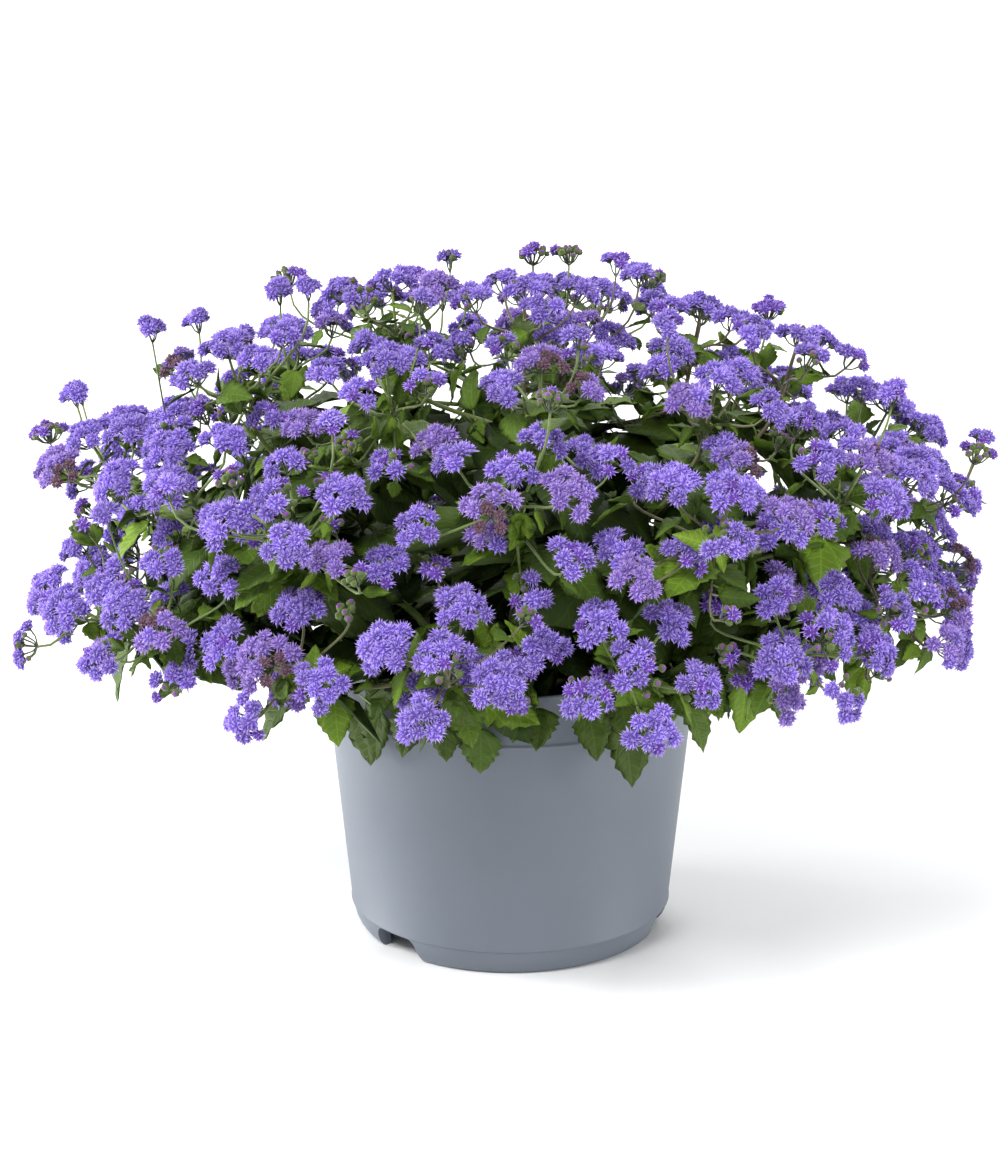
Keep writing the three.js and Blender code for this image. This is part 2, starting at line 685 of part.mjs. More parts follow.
// Grows on a shoot, for each leaf, the first way that stays clear of every other solid and of the
// shoot itself.
function foliate(shoot, body, others) {
  layLeaves(shoot).forEach((ways) => {
    const around = [solidOf(body), ...others];
    const isClear = (leaf) => around.every((other) => leafRoom(leaf).intersect(other).isEmpty());
    const spots = ways.flatMap((way) => {
      const spot = findFace(body, way.seat, way.along);
      const leaf = spot && { ...way, seat: spot.middle };
      const blade = leaf && bladeCorners(leaf, 0);
      return blade && standsOff(spot, blade) ? [{ spot, leaf, blade }] : [];
    });
    const chosen = spots.find(({ leaf }) => isClear(leaf));
    if (chosen) addBlade(body, openFace(body, chosen.spot, LEAF.foot), chosen.blade);
  });
  return solidOf(body);
}

// ---------------------------------------------------------------- the plant

const sprays = ROWS.flatMap((row, level) => range(row.sprays).map((i) => laySpray(row, level, i)));
jostle(sprays);
const blooms = sprays.map(spraySolid);

const shoots = ROWS.flatMap((row, level) => {
  const own = sprays.filter((spray) => spray.level === level);
  const cut = (k) => Math.round((k * own.length) / row.shoots);
  return range(row.shoots).map((k) => layShoot(row, level, k, own.slice(cut(k), cut(k + 1))));
});
const bodies = shoots.map(bareShoot);
const greens = bodies.map(solidOf);
const pot = potSolid();
const compost = compostSolid(shoots.map(({ root }) => root));
shoots.forEach((shoot, i) => {
  const others = [pot, compost, ...blooms, ...greens.filter((_, k) => k !== i)];
  greens[i] = foliate(shoot, bodies[i], others);
});

const group = new THREE.Group();
const numbered = (name, i) => `${name}_${String(i + 1).padStart(2, "0")}`;
group.add(meshOf("pot", pot, COLOURS.pot, 0.55));
group.add(meshOf("compost", compost, COLOURS.compost, 1));
greens.forEach((solid, i) => group.add(meshOf(numbered("leafy_shoot", i), solid, COLOURS.foliage, 0.7)));
blooms.forEach((solid, i) => group.add(meshOf(numbered("bloom_spray", i), solid, COLOURS.bloom, 0.9)));

const box = new THREE.Box3().setFromObject(group);
const middle = box.getCenter(new THREE.Vector3());
group.position.set(-middle.x, -middle.y, 0);

export default group;
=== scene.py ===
# %% [markdown]
# # Dressing a potted ageratum
# The plant is a floss flower: a low mound of toothed leaves under flat clusters of fluffy blue-violet
# heads, in a plain nursery pot. A imported model already holds its pot, compost, shoots and sprays at
# their true size. This lesson dresses each of them with a finer piece of the same form. We could
# model freely and scale at the end, but then the looks and the solid parts would drift apart. So the
# imported model is loaded first, and its box is kept to hold the new leaves and clusters inside it.

# %% Load the imported model
import math

import bmesh
import bpy
import numpy as np
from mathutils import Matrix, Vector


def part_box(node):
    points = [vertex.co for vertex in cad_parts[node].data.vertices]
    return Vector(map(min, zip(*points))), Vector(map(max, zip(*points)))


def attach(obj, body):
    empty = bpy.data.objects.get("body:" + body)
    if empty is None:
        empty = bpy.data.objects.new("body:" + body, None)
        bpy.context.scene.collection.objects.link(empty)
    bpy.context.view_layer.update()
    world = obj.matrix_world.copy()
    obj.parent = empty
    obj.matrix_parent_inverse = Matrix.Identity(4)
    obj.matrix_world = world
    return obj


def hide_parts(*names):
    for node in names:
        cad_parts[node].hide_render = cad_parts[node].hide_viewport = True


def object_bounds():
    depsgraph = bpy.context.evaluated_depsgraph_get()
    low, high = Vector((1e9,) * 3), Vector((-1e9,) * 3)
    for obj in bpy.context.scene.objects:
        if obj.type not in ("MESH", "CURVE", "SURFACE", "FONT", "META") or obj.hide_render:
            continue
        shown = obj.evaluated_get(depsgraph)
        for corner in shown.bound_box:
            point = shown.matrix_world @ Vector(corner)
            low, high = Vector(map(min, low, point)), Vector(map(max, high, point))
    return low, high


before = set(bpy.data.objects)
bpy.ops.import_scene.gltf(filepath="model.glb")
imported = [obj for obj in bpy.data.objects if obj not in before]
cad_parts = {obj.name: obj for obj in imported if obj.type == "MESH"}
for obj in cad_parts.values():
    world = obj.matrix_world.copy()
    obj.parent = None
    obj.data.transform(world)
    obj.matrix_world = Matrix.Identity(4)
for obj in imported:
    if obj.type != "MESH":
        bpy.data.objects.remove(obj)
packed_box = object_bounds()
print("packed nodes:", len(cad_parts))

# %% [markdown]
# Every measure below is in millimetres from the middle of the pot's foot, because that is how a
# grower would measure the plant. Blender works in metres, so the numbers are moved and scaled when a
# mesh is made. The pot's own box says where its middle stands.

# %% Where the pot stands, and small helpers for directions
pot_low, pot_high = (np.array(corner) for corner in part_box("pot"))
POT_MIDDLE = (pot_low + pot_high) / 2 * [1, 1, 0]
UP = np.array([0.0, 0.0, 1.0])
GOLDEN_ANGLE = 2.39996


def unit(v):
    return v / np.linalg.norm(v, axis=-1, keepdims=True)


def heading(azimuth):
    """A level direction: azimuth 0 is the front, -Y, and 90 is +X."""
    return np.array([math.sin(math.radians(azimuth)), -math.cos(math.radians(azimuth)), 0.0])


def axes_along(direction, facing):
    """Columns x, y and z, with z along facing and x as near as can be to direction."""
    z = unit(facing)
    x = unit(direction - z * (z @ direction))
    return np.column_stack([x, np.cross(z, x), z])


def in_millimetres(point):
    return (np.array(point) - POT_MIDDLE) * 1000


def pick(draw, choices):
    return choices[draw.integers(len(choices))]


low_corner, high_corner = (in_millimetres(corner) for corner in packed_box)
print("pot middle, metres:", POT_MIDDLE.round(5))

# %% [markdown]
# Thousands of threads and leaves are too many for one object each, and the export drops particles
# and instances. So every piece is one mesh, put together from small parts with numpy: arrays of
# corners and triangles, joined end to end. Each corner also carries a place on a small colour chart
# (a UV map). The chart's columns are shades, and its rows run along a thread, leaf or stem. A
# material that reads the chart needs no picture, and overlapping places on it always agree.


# %% Put small parts together into one mesh
def part(corners, faces, chart=None, smooth=True):
    """The arrays of one small part: corners, triangles, chart, and each face's smoothness and finish."""
    faces = np.asarray(faces, np.int64).reshape(-1, 3)
    chart = np.zeros((len(corners), 2)) if chart is None else np.asarray(chart, float)
    return np.asarray(corners, float), faces, chart, np.full(len(faces), smooth), np.zeros(len(faces), int)


def joined(parts):
    """Many parts as one. The corner numbers in each part's faces move up by the corners before it."""
    starts = np.cumsum([0] + [len(corners) for corners, *_ in parts[:-1]])
    shifted = [(corners, faces + start, *rest) for (corners, faces, *rest), start in zip(parts, starts)]
    return tuple(np.concatenate(arrays) for arrays in zip(*shifted))


def placed(shape, turn, middle, size, column):
    """A copy of a shape, scaled, turned and moved, and shifted to a column of the chart."""
    corners, faces, chart, *rest = shape
    return corners @ (turn.T * size) + middle, faces, chart + [column, 0.0], *rest


# %% [markdown]
# A finished mesh becomes one object. It rides on the plant's only body, takes its finishes, and hides
# the imported node it stands in for. One function does all of that, so that no piece can miss a step.


# %% Make a piece of the plant
def added(name, data):
    """A new object in the scene."""
    thing = bpy.data.objects.new(name, data)
    bpy.context.scene.collection.objects.link(thing)
    return thing


def make_piece(name, shape, materials, node, charted=True):
    corners, faces, chart, smooth, material = shape
    mesh = bpy.data.meshes.new(name)
    mesh.from_pydata(POT_MIDDLE + corners / 1000, [], faces)
    mesh.polygons.foreach_set("use_smooth", smooth)
    mesh.polygons.foreach_set("material_index", material)
    if charted:
        layer = mesh.uv_layers.new(name="OFBake")
        layer.data.foreach_set("uv", chart[faces.ravel()].ravel())
    for finish in materials:
        mesh.materials.append(finish)
    mesh.update()
    piece = added(name, mesh)
    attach(piece, "root")
    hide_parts(node)
    return piece


# %% [markdown]
# ## Camera, floor and light
# A plant like this is shown on white under soft light, with the eye a little above the rim of the
# pot and about a metre and three quarters away. A long lens keeps the pot's sides nearly parallel.
# A large lamp from above and the left models the flowers, a low one on the left draws the bright edge
# of the pot under the leaves, and a weaker one fills the right. A lamp far behind, turned down to
# the floor, keeps the paper white without washing out the plant, and a pale sky opens the shadows.

# %% The camera
LOOKING_DOWN, TURNED_LEFT = 16.0, 0.21
camera = added("Camera", bpy.data.cameras.new("Camera"))
camera.location = POT_MIDDLE + [0.0, -1.726, 0.712]
camera.rotation_euler = (math.radians(90 - LOOKING_DOWN), 0.0, math.radians(TURNED_LEFT))
camera.data.lens = 93.5
camera.data.sensor_width = 36.0
camera.data.clip_end = 60.0
bpy.context.scene.camera = camera
print("camera:", camera.data.lens, "mm lens, looking down by", LOOKING_DOWN, "degrees")


# %% The floor
def feed(socket, value):
    """Set a plain constant on a socket, or link to it what flows out of another node."""
    if hasattr(value, "socket"):
        socket.id_data.links.new(value.socket, socket)
    else:
        socket.default_value = value


def new_finish(name):
    finish = bpy.data.materials.new(name)
    finish.use_nodes = True
    return finish


def coat(finish, inputs):
    """Feed the named inputs of a material's shader."""
    for name, value in inputs.items():
        feed(finish.node_tree.nodes["Principled BSDF"].inputs[name], value)


REACH = 24.0
floor_mesh = bpy.data.meshes.new("studio_floor")
floor_corners = [(x * REACH, y * REACH, 0) for x, y in ((-1, -1), (1, -1), (1, 1), (-1, 1))]
floor_mesh.from_pydata(floor_corners, [], [(0, 1, 2, 3)])
floor = added("studio_floor", floor_mesh)
paper = new_finish("white_paper_sweep")
coat(paper, {"Base Color": (0.93, 0.93, 0.93, 1), "Roughness": 0.9})
floor_mesh.materials.append(paper)
print("floor:", 2 * REACH, "metres across")


# %% The lamps and the pale sky
def soft_lamp(name, place, aim, width, watts):
    lamp = added(name, bpy.data.lights.new(name, "AREA"))
    lamp.data.shape = "SQUARE"
    lamp.data.size = width
    lamp.data.energy = watts
    lamp.location = place
    way = np.array(aim) - np.array(place)
    level = math.hypot(way[0], way[1])
    lamp.rotation_euler = (math.atan2(level, -way[2]), 0.0, math.atan2(way[1], way[0]) - math.pi / 2)


soft_lamp("key_softbox", (-1.05, -1.65, 2.3), (0, 0, 0.25), 0.9, 80)
soft_lamp("low_left_softbox", (-1.5, 0.25, 0.28), (0, 0, 0.1), 0.6, 28)
soft_lamp("right_softbox", (1.9, -0.5, 0.3), (0, 0, 0.08), 0.8, 22)
soft_lamp("floor_softbox", (0, 5.5, 3.2), (0, 5.9, 0), 5.0, 520)
sky = bpy.data.worlds.new("pale_studio")
bpy.context.scene.world = sky
sky.use_nodes = True
feed(sky.node_tree.nodes["Background"].inputs["Color"], (0.98, 0.99, 1.0, 1))
feed(sky.node_tree.nodes["Background"].inputs["Strength"], 0.68)
bpy.context.scene.view_settings.view_transform = "Standard"
print("lamps:", [lamp.name for lamp in bpy.data.lights])

# %% [markdown]
# ## Materials
# Each material is drawn by nodes, so it stays sharp at any size and needs no picture. Node trees are
# long to write out. So a small class stands for what flows out of a node, and plain arithmetic on it
# adds the node that does the sum.


# %% What flows through a node tree
class Flow:
    def __init__(self, socket):
        self.socket = socket

    def into(self, kind, inputs, output=0, **settings):
        """What comes out of a new node in the same tree, with these settings and inputs."""
        node = self.socket.id_data.nodes.new(kind)
        for name, value in settings.items():
            setattr(node, name, value)
        for name, value in inputs.items():
            feed(node.inputs[name], value)
        return Flow(node.outputs[output])

    def maths(self, operation, *values):
        return self.into("ShaderNodeMath", dict(enumerate((self, *values))), operation=operation)

    def __add__(self, other):
        return self.maths("ADD", other)

    def __sub__(self, other):
        return self.maths("SUBTRACT", other)

    def __mul__(self, other):
        return self.maths("MULTIPLY", other)

    def __abs__(self):
        return self.maths("ABSOLUTE")

    def noise(self, scale, detail):
        return self.into("ShaderNodeTexNoise", {"Vector": self, "Scale": scale, "Detail": detail})

    def mixed(self, other, share):
        """This colour, with a share of another one in it."""
        return self.into("ShaderNodeMix", {0: share, 6: self, 7: other}, 2, data_type="RGBA")

    def brightened(self, amount):
        return self.into("ShaderNodeVectorMath", {0: self, "Scale": amount}, operation="SCALE")

    def ramp(self, stops, interpolation="LINEAR"):
        """A colour ramp from (place, red, green, blue) stops."""
        colours = self.into("ShaderNodeValToRGB", {0: self})
        band = colours.socket.node.color_ramp
        band.interpolation = interpolation
        for i, (place, *colour) in enumerate(stops):
            stop = band.elements[i] if i < 2 else band.elements.new(place)
            stop.position = place
            stop.color = (*colour, 1)
        return colours


# %% Where a material looks, and what it raises
def object_places(finish):
    return Flow(finish.node_tree.nodes.new("ShaderNodeTexCoord").outputs["Object"])


def chart_places(finish):
    """The colour chart at each point: the place on it, its column and its row."""
    chart_map = finish.node_tree.nodes.new("ShaderNodeUVMap")
    chart_map.uv_map = "OFBake"
    chart = Flow(chart_map.outputs[0])
    return chart, *(chart.into("ShaderNodeSeparateXYZ", {0: chart}, axis) for axis in (0, 1))


def relief(finish, height, strength, distance):
    inputs = {"Height": height, "Strength": strength, "Distance": distance}
    coat(finish, {"Normal": height.into("ShaderNodeBump", inputs)})


# %% [markdown]
# The pot is moulded in blue-grey polypropylene. Such plastic is satin: it has a faint grain from the
# mould, a slightly cloudy colour and a broad, weak shine. A plain grey shader looks like paint, so
# one noise varies the grey and the shine a little, and a very fine one gives the grain.

# %% Satin pot plastic
pot_plastic = new_finish("satin_pot_plastic")
places = object_places(pot_plastic)
clouds = places.noise(14.0, 4.0)
grey = clouds.ramp([(0.3, 0.118, 0.137, 0.167), (0.7, 0.133, 0.153, 0.185)])
coat(pot_plastic, {"Base Color": grey, "Roughness": clouds * 0.12 + 0.4, "Specular IOR Level": 0.42})
relief(pot_plastic, places.noise(1400.0, 2.0), 0.12, 0.0004)

# %% [markdown]
# Potting compost is peat and bark fibre, dark brown to nearly black. The mesh makes the crumbs, so
# the material only mottles them: nearly black where its relief is low, brown where it is high.

# %% Damp potting compost
damp_compost = new_finish("damp_potting_compost")
crumbs = object_places(damp_compost).noise(160.0, 6.0)
browns = crumbs.ramp([(0.35, 0.012, 0.008, 0.005), (0.5, 0.035, 0.021, 0.012), (0.68, 0.1, 0.062, 0.036)])
coat(damp_compost, {"Base Color": browns, "Roughness": 0.95})
relief(damp_compost, crumbs, 0.8, 0.002)

# %% [markdown]
# An ageratum leaf is mid green, softly hairy and quilted: three main veins leave its foot, side
# veins run out to the teeth, and the skin puffs up between them. On the colour chart each of ten
# columns holds one leaf, foot at the bottom, with its own shade of green. Rows 0 to 0.6 are the
# upper side, 0.6 to 0.8 the paler underside, and 0.8 to 1 the stems. The veins are drawn from the
# distance to the midrib. The first four columns are darker greens that paint the shade deep inside the
# plant.

# %% Leaf skin with drawn veins
COLUMNS, UPPER_ROWS = 10, 0.6


def vein(distance, sharpness):
    """0 on the line of a vein, rising softly to 1 beside it."""
    return (distance * sharpness).maths("SMOOTH_MIN", 1.0, 0.2)


leaf_skin = new_finish("quilted_leaf")
chart, across, row = chart_places(leaf_skin)
off_midrib = abs((across * COLUMNS).maths("FRACT") - 0.5)
along = row.maths("DIVIDE", UPPER_ROWS)
off_outer_vein = abs(off_midrib - abs(along).maths("POWER", 0.8) * 0.42)
off_side_vein = abs((along * 7.5 - off_midrib * 5.0).maths("FRACT") - 0.5) * -1.0 + 0.5
puff = vein(off_midrib, 34.0) * vein(off_outer_vein, 40.0) * vein(off_side_vein, 7.0)
# The first four greens are painted shade for the leaves deep inside; the other six are the leaves' own
# greens.
GREENS = [
    (0.027, 0.052, 0.004), (0.037, 0.07, 0.005), (0.03, 0.06, 0.006), (0.047, 0.082, 0.006),
    (0.077, 0.138, 0.01), (0.105, 0.185, 0.013), (0.062, 0.114, 0.01), (0.13, 0.225, 0.016),
    (0.09, 0.16, 0.012), (0.165, 0.27, 0.022),
]
tint = across.ramp([(i / COLUMNS, *green) for i, green in enumerate(GREENS)], "CONSTANT")
mottle = chart.noise(46.0, 3.0)
upper_side = tint.brightened(puff * -0.38 + 1.3).mixed((0.012, 0.026, 0.005, 1), mottle * 0.35)
underside = tint.mixed((0.12, 0.18, 0.06, 1), 0.4)
coat(leaf_skin, {
    "Base Color": upper_side.mixed(underside, row.maths("GREATER_THAN", UPPER_ROWS)),
    "Roughness": mottle * 0.2 + 0.5,
    "Specular IOR Level": 0.22,
})
relief(leaf_skin, puff, 0.45, 0.0006)

# %% [markdown]
# Stems are green and hairy while they are young. Towards the light they redden to brown and purple.
# The top row of the chart runs from green to purple, with a darker streak now and then.

# %% Stem skin
stem_skin = new_finish("hairy_stem")
chart, across, row = chart_places(stem_skin)
streaks = chart.noise(90.0, 3.0)
green_to_purple = across.ramp([
    (0.0, 0.1, 0.17, 0.022), (0.45, 0.2, 0.29, 0.045), (0.75, 0.14, 0.12, 0.04), (1.0, 0.085, 0.035, 0.04),
])
streaked = green_to_purple.mixed((0.03, 0.045, 0.015, 1), streaks * 0.6)
coat(stem_skin, {"Base Color": streaked, "Roughness": 0.6, "Sheen Weight": 0.25})
relief(stem_skin, streaks, 0.3, 0.0004)

# %% [markdown]
# The heads are all thread: each floret ends in two long lavender style arms, pale at the tip and
# deep violet where they leave the disc. Freshly opening heads have a magenta-violet disc, buds are
# green cups with a small magenta top, and spent heads go maroon. On this chart sixteen columns are
# single shades: 0 to 8 open heads, 9 and 10 mauve ones, 11 and 12 opening, 13 buds, 14 and 15 spent.
# Rows run from root to tip of a thread up to 0.45, then come the disc, the green cup and the flower
# stalk. Roots are nearly black violet, because in a dense head hardly any light reaches them. Within
# a column light and dark streaks alternate, so a broad spike looks like a tuft of threads.

# %% Floss of the flower heads
SHADES, THREAD_ROWS = 16, 0.45
floss = new_finish("ageratum_floss")
chart, across, row = chart_places(floss)
PURPLE_PLACES = (0.0, 0.18, THREAD_ROWS - 0.001, THREAD_ROWS, 0.599)
GREEN_STOPS = [
    (0.6, 0.09, 0.14, 0.025), (0.79, 0.17, 0.26, 0.045), (0.8, 0.09, 0.15, 0.03), (1.0, 0.1, 0.13, 0.04),
]


def head_colours(*colours):
    """The ramp of one kind of head: root, middle and tip of a thread, foot and top of the disc."""
    return row.ramp([(place, *colour) for place, colour in zip(PURPLE_PLACES, colours)] + GREEN_STOPS)


fresh = head_colours(
    (0.018, 0.007, 0.075), (0.17, 0.095, 0.5), (0.6, 0.475, 0.97), (0.12, 0.05, 0.46), (0.26, 0.12, 0.74))
mauve = head_colours(
    (0.03, 0.012, 0.1), (0.2, 0.11, 0.46), (0.58, 0.43, 0.84), (0.16, 0.06, 0.3), (0.3, 0.12, 0.46))
opening = head_colours(
    (0.03, 0.012, 0.13), (0.2, 0.11, 0.58), (0.58, 0.44, 0.97), (0.11, 0.03, 0.34), (0.27, 0.09, 0.66))
budding = head_colours(
    (0.12, 0.04, 0.2), (0.2, 0.08, 0.35), (0.34, 0.16, 0.55), (0.18, 0.06, 0.24), (0.36, 0.1, 0.52))
spent = head_colours(
    (0.03, 0.01, 0.02), (0.09, 0.035, 0.06), (0.24, 0.13, 0.2), (0.06, 0.02, 0.03), (0.12, 0.05, 0.06))
shade = (across * SHADES).maths("FLOOR")
colour = fresh
for last_before, kind in ((8.5, mauve), (10.5, opening), (12.5, budding), (13.5, spent)):
    colour = colour.mixed(kind, shade.maths("GREATER_THAN", last_before))
shade_light = (shade * 0.618).maths("FRACT") * 0.3 + 0.8
streak = ((across * SHADES).maths("FRACT") * 10.0).maths("PINGPONG", 0.5)
streak_light = streak * row.maths("LESS_THAN", THREAD_ROWS) * 1.5 + 0.65
coat(floss, {
    "Base Color": colour.brightened(shade_light * streak_light),
    "Roughness": 0.8,
    "Specular IOR Level": 0.2,
    "Sheen Weight": 0.3,
    "Sheen Roughness": 0.5,
})
print("materials:", [finish.name for finish in bpy.data.materials])

# %% [markdown]
# ## The pot
# One profile turned about the axis makes a moulded pot: a thin skirt to stand on, a foot that curves
# out to a fine seam line, a straight wall, and a rim band that stands a little proud with a rounded
# lip. Blender's Screw modifier could turn it, but an array of rings gives full control of where the
# corners fall. The three drainage notches in the skirt are then cut with a Boolean, because their
# rounded tops run across many faces.

# %% Turn the pot's profile
POT_SIDES = 160
POT_PROFILE = [
    (0, 18.2), (60, 18.2), (90, 18.2), (93.2, 18.9), (94.8, 20.6), (95.4, 24), (101.6, 84),
    (107.9, 145.2), (109.3, 148.5), (111.2, 176.6), (111.45, 178.3), (111.9, 178.85), (112.5, 179.0),
    (113.0, 178.9), (113.4, 178.5), (113.5, 177.8), (113.0, 164), (112.3, 150.4), (112.6, 149.4),
    (113.0, 148.8), (113.1, 148.0), (112.8, 147.3), (112.0, 147.0), (110.8, 146.9), (110.35, 146.6),
    (110.25, 145.6), (104.0, 84), (97.35, 17.9), (97.75, 17.2), (97.75, 16.4), (97.3, 15.9),
    (96.85, 15.6), (96.75, 15.0), (96.2, 12.2), (95.1, 8.2), (93.6, 5), (91.8, 2.4), (90.2, 0.9),
    (89.0, 0.2), (88.2, 0), (85.1, 0), (84.6, 0.3), (84.5, 0.9), (85.6, 8), (86.0, 13.6), (85.6, 15.2),
    (84.4, 16), (50, 16), (0, 16),
]


def ring_faces(rings, sides, first=0):
    """Triangles of a skin over rings of corners, and the numbers of each corner and its neighbour."""
    here = np.arange(sides)
    after = (here + 1) % sides
    faces = []
    for k in range(rings - 1):
        a, b = first + k * sides, first + (k + 1) * sides
        faces.append(np.column_stack([a + here, b + here, b + after]))
        faces.append(np.column_stack([a + here, b + after, a + after]))
    return np.vstack(faces), here, after


def turned(profile, sides):
    """A closed surface of revolution, from the axis at the top of the inside to the axis below."""
    angles = np.arange(sides) * 2 * math.pi / sides
    circle = np.column_stack([np.cos(angles), np.sin(angles), np.zeros(sides)])
    rings = [circle * radius + UP * height for radius, height in profile[1:-1]]
    corners = np.vstack([UP * profile[0][1], *rings, UP * profile[-1][1]])
    faces, here, after = ring_faces(len(rings), sides, 1)
    pole = len(corners) - 1
    top = np.column_stack([np.zeros(sides, int), 1 + here, 1 + after])
    bottom = np.column_stack([pole - sides + here, np.full(sides, pole), pole - sides + after])
    return corners, np.vstack([top, faces, bottom])


pot_shape = part(*turned(POT_PROFILE, POT_SIDES))
pot = make_piece("nursery_pot", pot_shape, [pot_plastic], "pot", charted=False)
print("pot triangles before the cuts:", len(pot.data.polygons))

# %% Cut the drainage notches and holes
NOTCH_AZIMUTHS = (-46, 74, 194)
HALF_NOTCH = [(18.0, -2), (17.2, 6), (16.7, 9.5), (15.9, 12.0), (14.6, 13.9), (12.8, 15.1), (10.5, 15.5)]
NOTCH_OUTLINE = HALF_NOTCH + [(-side, height) for side, height in HALF_NOTCH[::-1]]
HOLE_OUT, HOLE_RADIUS, HOLE_SIDES = 66, 5, 24


def cut_away(piece, name, near, far):
    """Cut a closed tool out of a piece. The tool runs straight from one outline to another."""
    count = len(near)
    ends = [tuple(range(count))[::-1], tuple(range(count, 2 * count))]
    walls = [(i, (i + 1) % count, count + (i + 1) % count, count + i) for i in range(count)]
    mesh = bpy.data.meshes.new(name)
    mesh.from_pydata([POT_MIDDLE + corner / 1000 for corner in (*near, *far)], [], ends + walls)
    tool = added(name, mesh)
    cut = piece.modifiers.new(name, "BOOLEAN")
    cut.operation = "DIFFERENCE"
    cut.solver = "EXACT"
    cut.object = tool
    bpy.context.view_layer.objects.active = piece
    with bpy.context.temp_override(object=piece, active_object=piece, selected_objects=[piece]):
        bpy.ops.object.modifier_apply(modifier=cut.name)
    bpy.data.meshes.remove(mesh)


turns = [math.pi * k / (HOLE_SIDES / 2) for k in range(HOLE_SIDES)]
ring = [HOLE_RADIUS * np.array([math.cos(turn), math.sin(turn), 0.0]) for turn in turns]
for azimuth in NOTCH_AZIMUTHS:
    out, side = heading(azimuth), np.cross(UP, heading(azimuth))
    inner, outer = ([out * r + side * s + UP * z for s, z in NOTCH_OUTLINE] for r in (70, 130))
    cut_away(pot, "notch", inner, outer)
    lower, upper = ([out * HOLE_OUT + corner + UP * z for corner in ring] for z in (8, 30))
    cut_away(pot, "drain", lower, upper)
cut_mesh = bmesh.new()
cut_mesh.from_mesh(pot.data)
bmesh.ops.dissolve_degenerate(cut_mesh, dist=0.00001, edges=cut_mesh.edges[:])
bmesh.ops.triangulate(cut_mesh, faces=cut_mesh.faces[:])
cut_mesh.to_mesh(pot.data)
cut_mesh.free()
pot.data.shade_smooth()
pot.data.set_sharp_from_angle(angle=math.radians(38))
print("pot triangles after the cuts:", len(pot.data.polygons))

# %% [markdown]
# ## The compost
# The fill is a low mound inside the pot. Its crumbs are raised by a sum of waves of several lengths,
# which always gives the same surface, and a few hundred loose crumbs of bark lie on top.


# %% Raise the compost and scatter its crumbs
def mound_height(x, y):
    lumps = np.sin(0.31 * x + 1.7) * np.cos(0.27 * y + 0.4) + 0.6 * np.sin(0.83 * x - 0.71 * y)
    crumbs = np.sin(1.9 * x + 0.7 * y) * np.sin(1.6 * y - 0.9 * x) + np.sin(2.9 * y + 1.1 * x)
    return 164 - 6 * (np.hypot(x, y) / 109) ** 2 + 0.5 * lumps + 0.4 * crumbs


SOIL_RINGS, SOIL_SIDES, SOIL_RADIUS, LOOSE_CRUMBS = 30, 110, 108.6, 320
profile = [(k * SOIL_RADIUS / SOIL_RINGS, 0.0) for k in range(SOIL_RINGS + 1)]
profile += [(107.2, 146.0), (96.0, 20.5), (60, 18.7), (0, 18.7)]
soil_corners, soil_faces = turned(profile, SOIL_SIDES)
top = slice(0, 1 + SOIL_RINGS * SOIL_SIDES)
soil_corners[top, 2] = mound_height(soil_corners[top, 0], soil_corners[top, 1])
soil_parts = [part(soil_corners, soil_faces)]
BEAD = np.array([[1, 0, 0], [-1, 0, 0], [0, 1, 0], [0, -1, 0], [0, 0, 1], [0, 0, -1]], float)
BEAD_FACES = [(0, 2, 4), (2, 1, 4), (1, 3, 4), (3, 0, 4), (2, 0, 5), (1, 2, 5), (3, 1, 5), (0, 3, 5)]
scatter = np.random.default_rng(11)
for _ in range(LOOSE_CRUMBS):
    r, a = 106 * math.sqrt(scatter.random()), scatter.random() * 2 * math.pi
    x, y = r * math.cos(a), r * math.sin(a)
    lump = BEAD * scatter.uniform(0.8, 2.6, 3) * [1.0, 0.8, 0.6]
    turn = axes_along(scatter.normal(size=3), scatter.normal(size=3))
    soil_parts.append(part(lump @ turn.T + [x, y, mound_height(x, y) + 0.3], BEAD_FACES, smooth=False))
soil = make_piece(
    "potting_mix", joined(soil_parts), [damp_compost], "compost", charted=False)
print("compost triangles:", len(soil.data.polygons))

# %% [markdown]
# ## Where the sprays stand
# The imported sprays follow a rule: rows of sprays on a squarish dome, each a crowning cluster with
# four or five lateral ones, pushed apart until they are clear. The rule is repeated here with the
# same seeded draws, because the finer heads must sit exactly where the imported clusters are. Reading
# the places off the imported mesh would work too, but a rule also says which way each cluster faces.

# %% The dome and its rows
DOME_SIZE, DOME_MIDDLE = np.array([270, 238, 168]), np.array([0, 0, 217])
DOME_SQUARENESS, FRONT_LIFT = 2.5, 6
ROWS = [
    {"sprays": 3, "shoots": 1, "tilt": 12, "start": 20, "root": 0},
    {"sprays": 9, "shoots": 3, "tilt": 35, "start": 8, "root": 26},
    {"sprays": 13, "shoots": 5, "tilt": 60, "start": 0, "root": 52},
    {"sprays": 16, "shoots": 7, "tilt": 88, "start": 14, "root": 80},
]
SPACING, CLUSTER_FOOT, KNOT_DEPTH = 33, 7, 44


def stream(seed):
    """A seeded stream of draws, evenly spread from low to high."""
    state = seed * 7919 + 12345

    def draw(low, high):
        nonlocal state
        state = (state * 16807) % 2147483647
        return low + (high - low) * state / 2147483647

    return draw


def on_dome(azimuth, tilt, reach):
    out, up = math.sin(math.radians(tilt)), math.cos(math.radians(tilt))
    swell = (out**DOME_SQUARENESS + abs(up) ** DOME_SQUARENESS) ** (-1 / DOME_SQUARENESS) * reach
    x, y, _ = heading(azimuth)
    place = DOME_SIZE * swell * [out, out, up] * [x, y, 1.0] + DOME_MIDDLE
    return place, unit((place - DOME_MIDDLE) / DOME_SIZE**2)


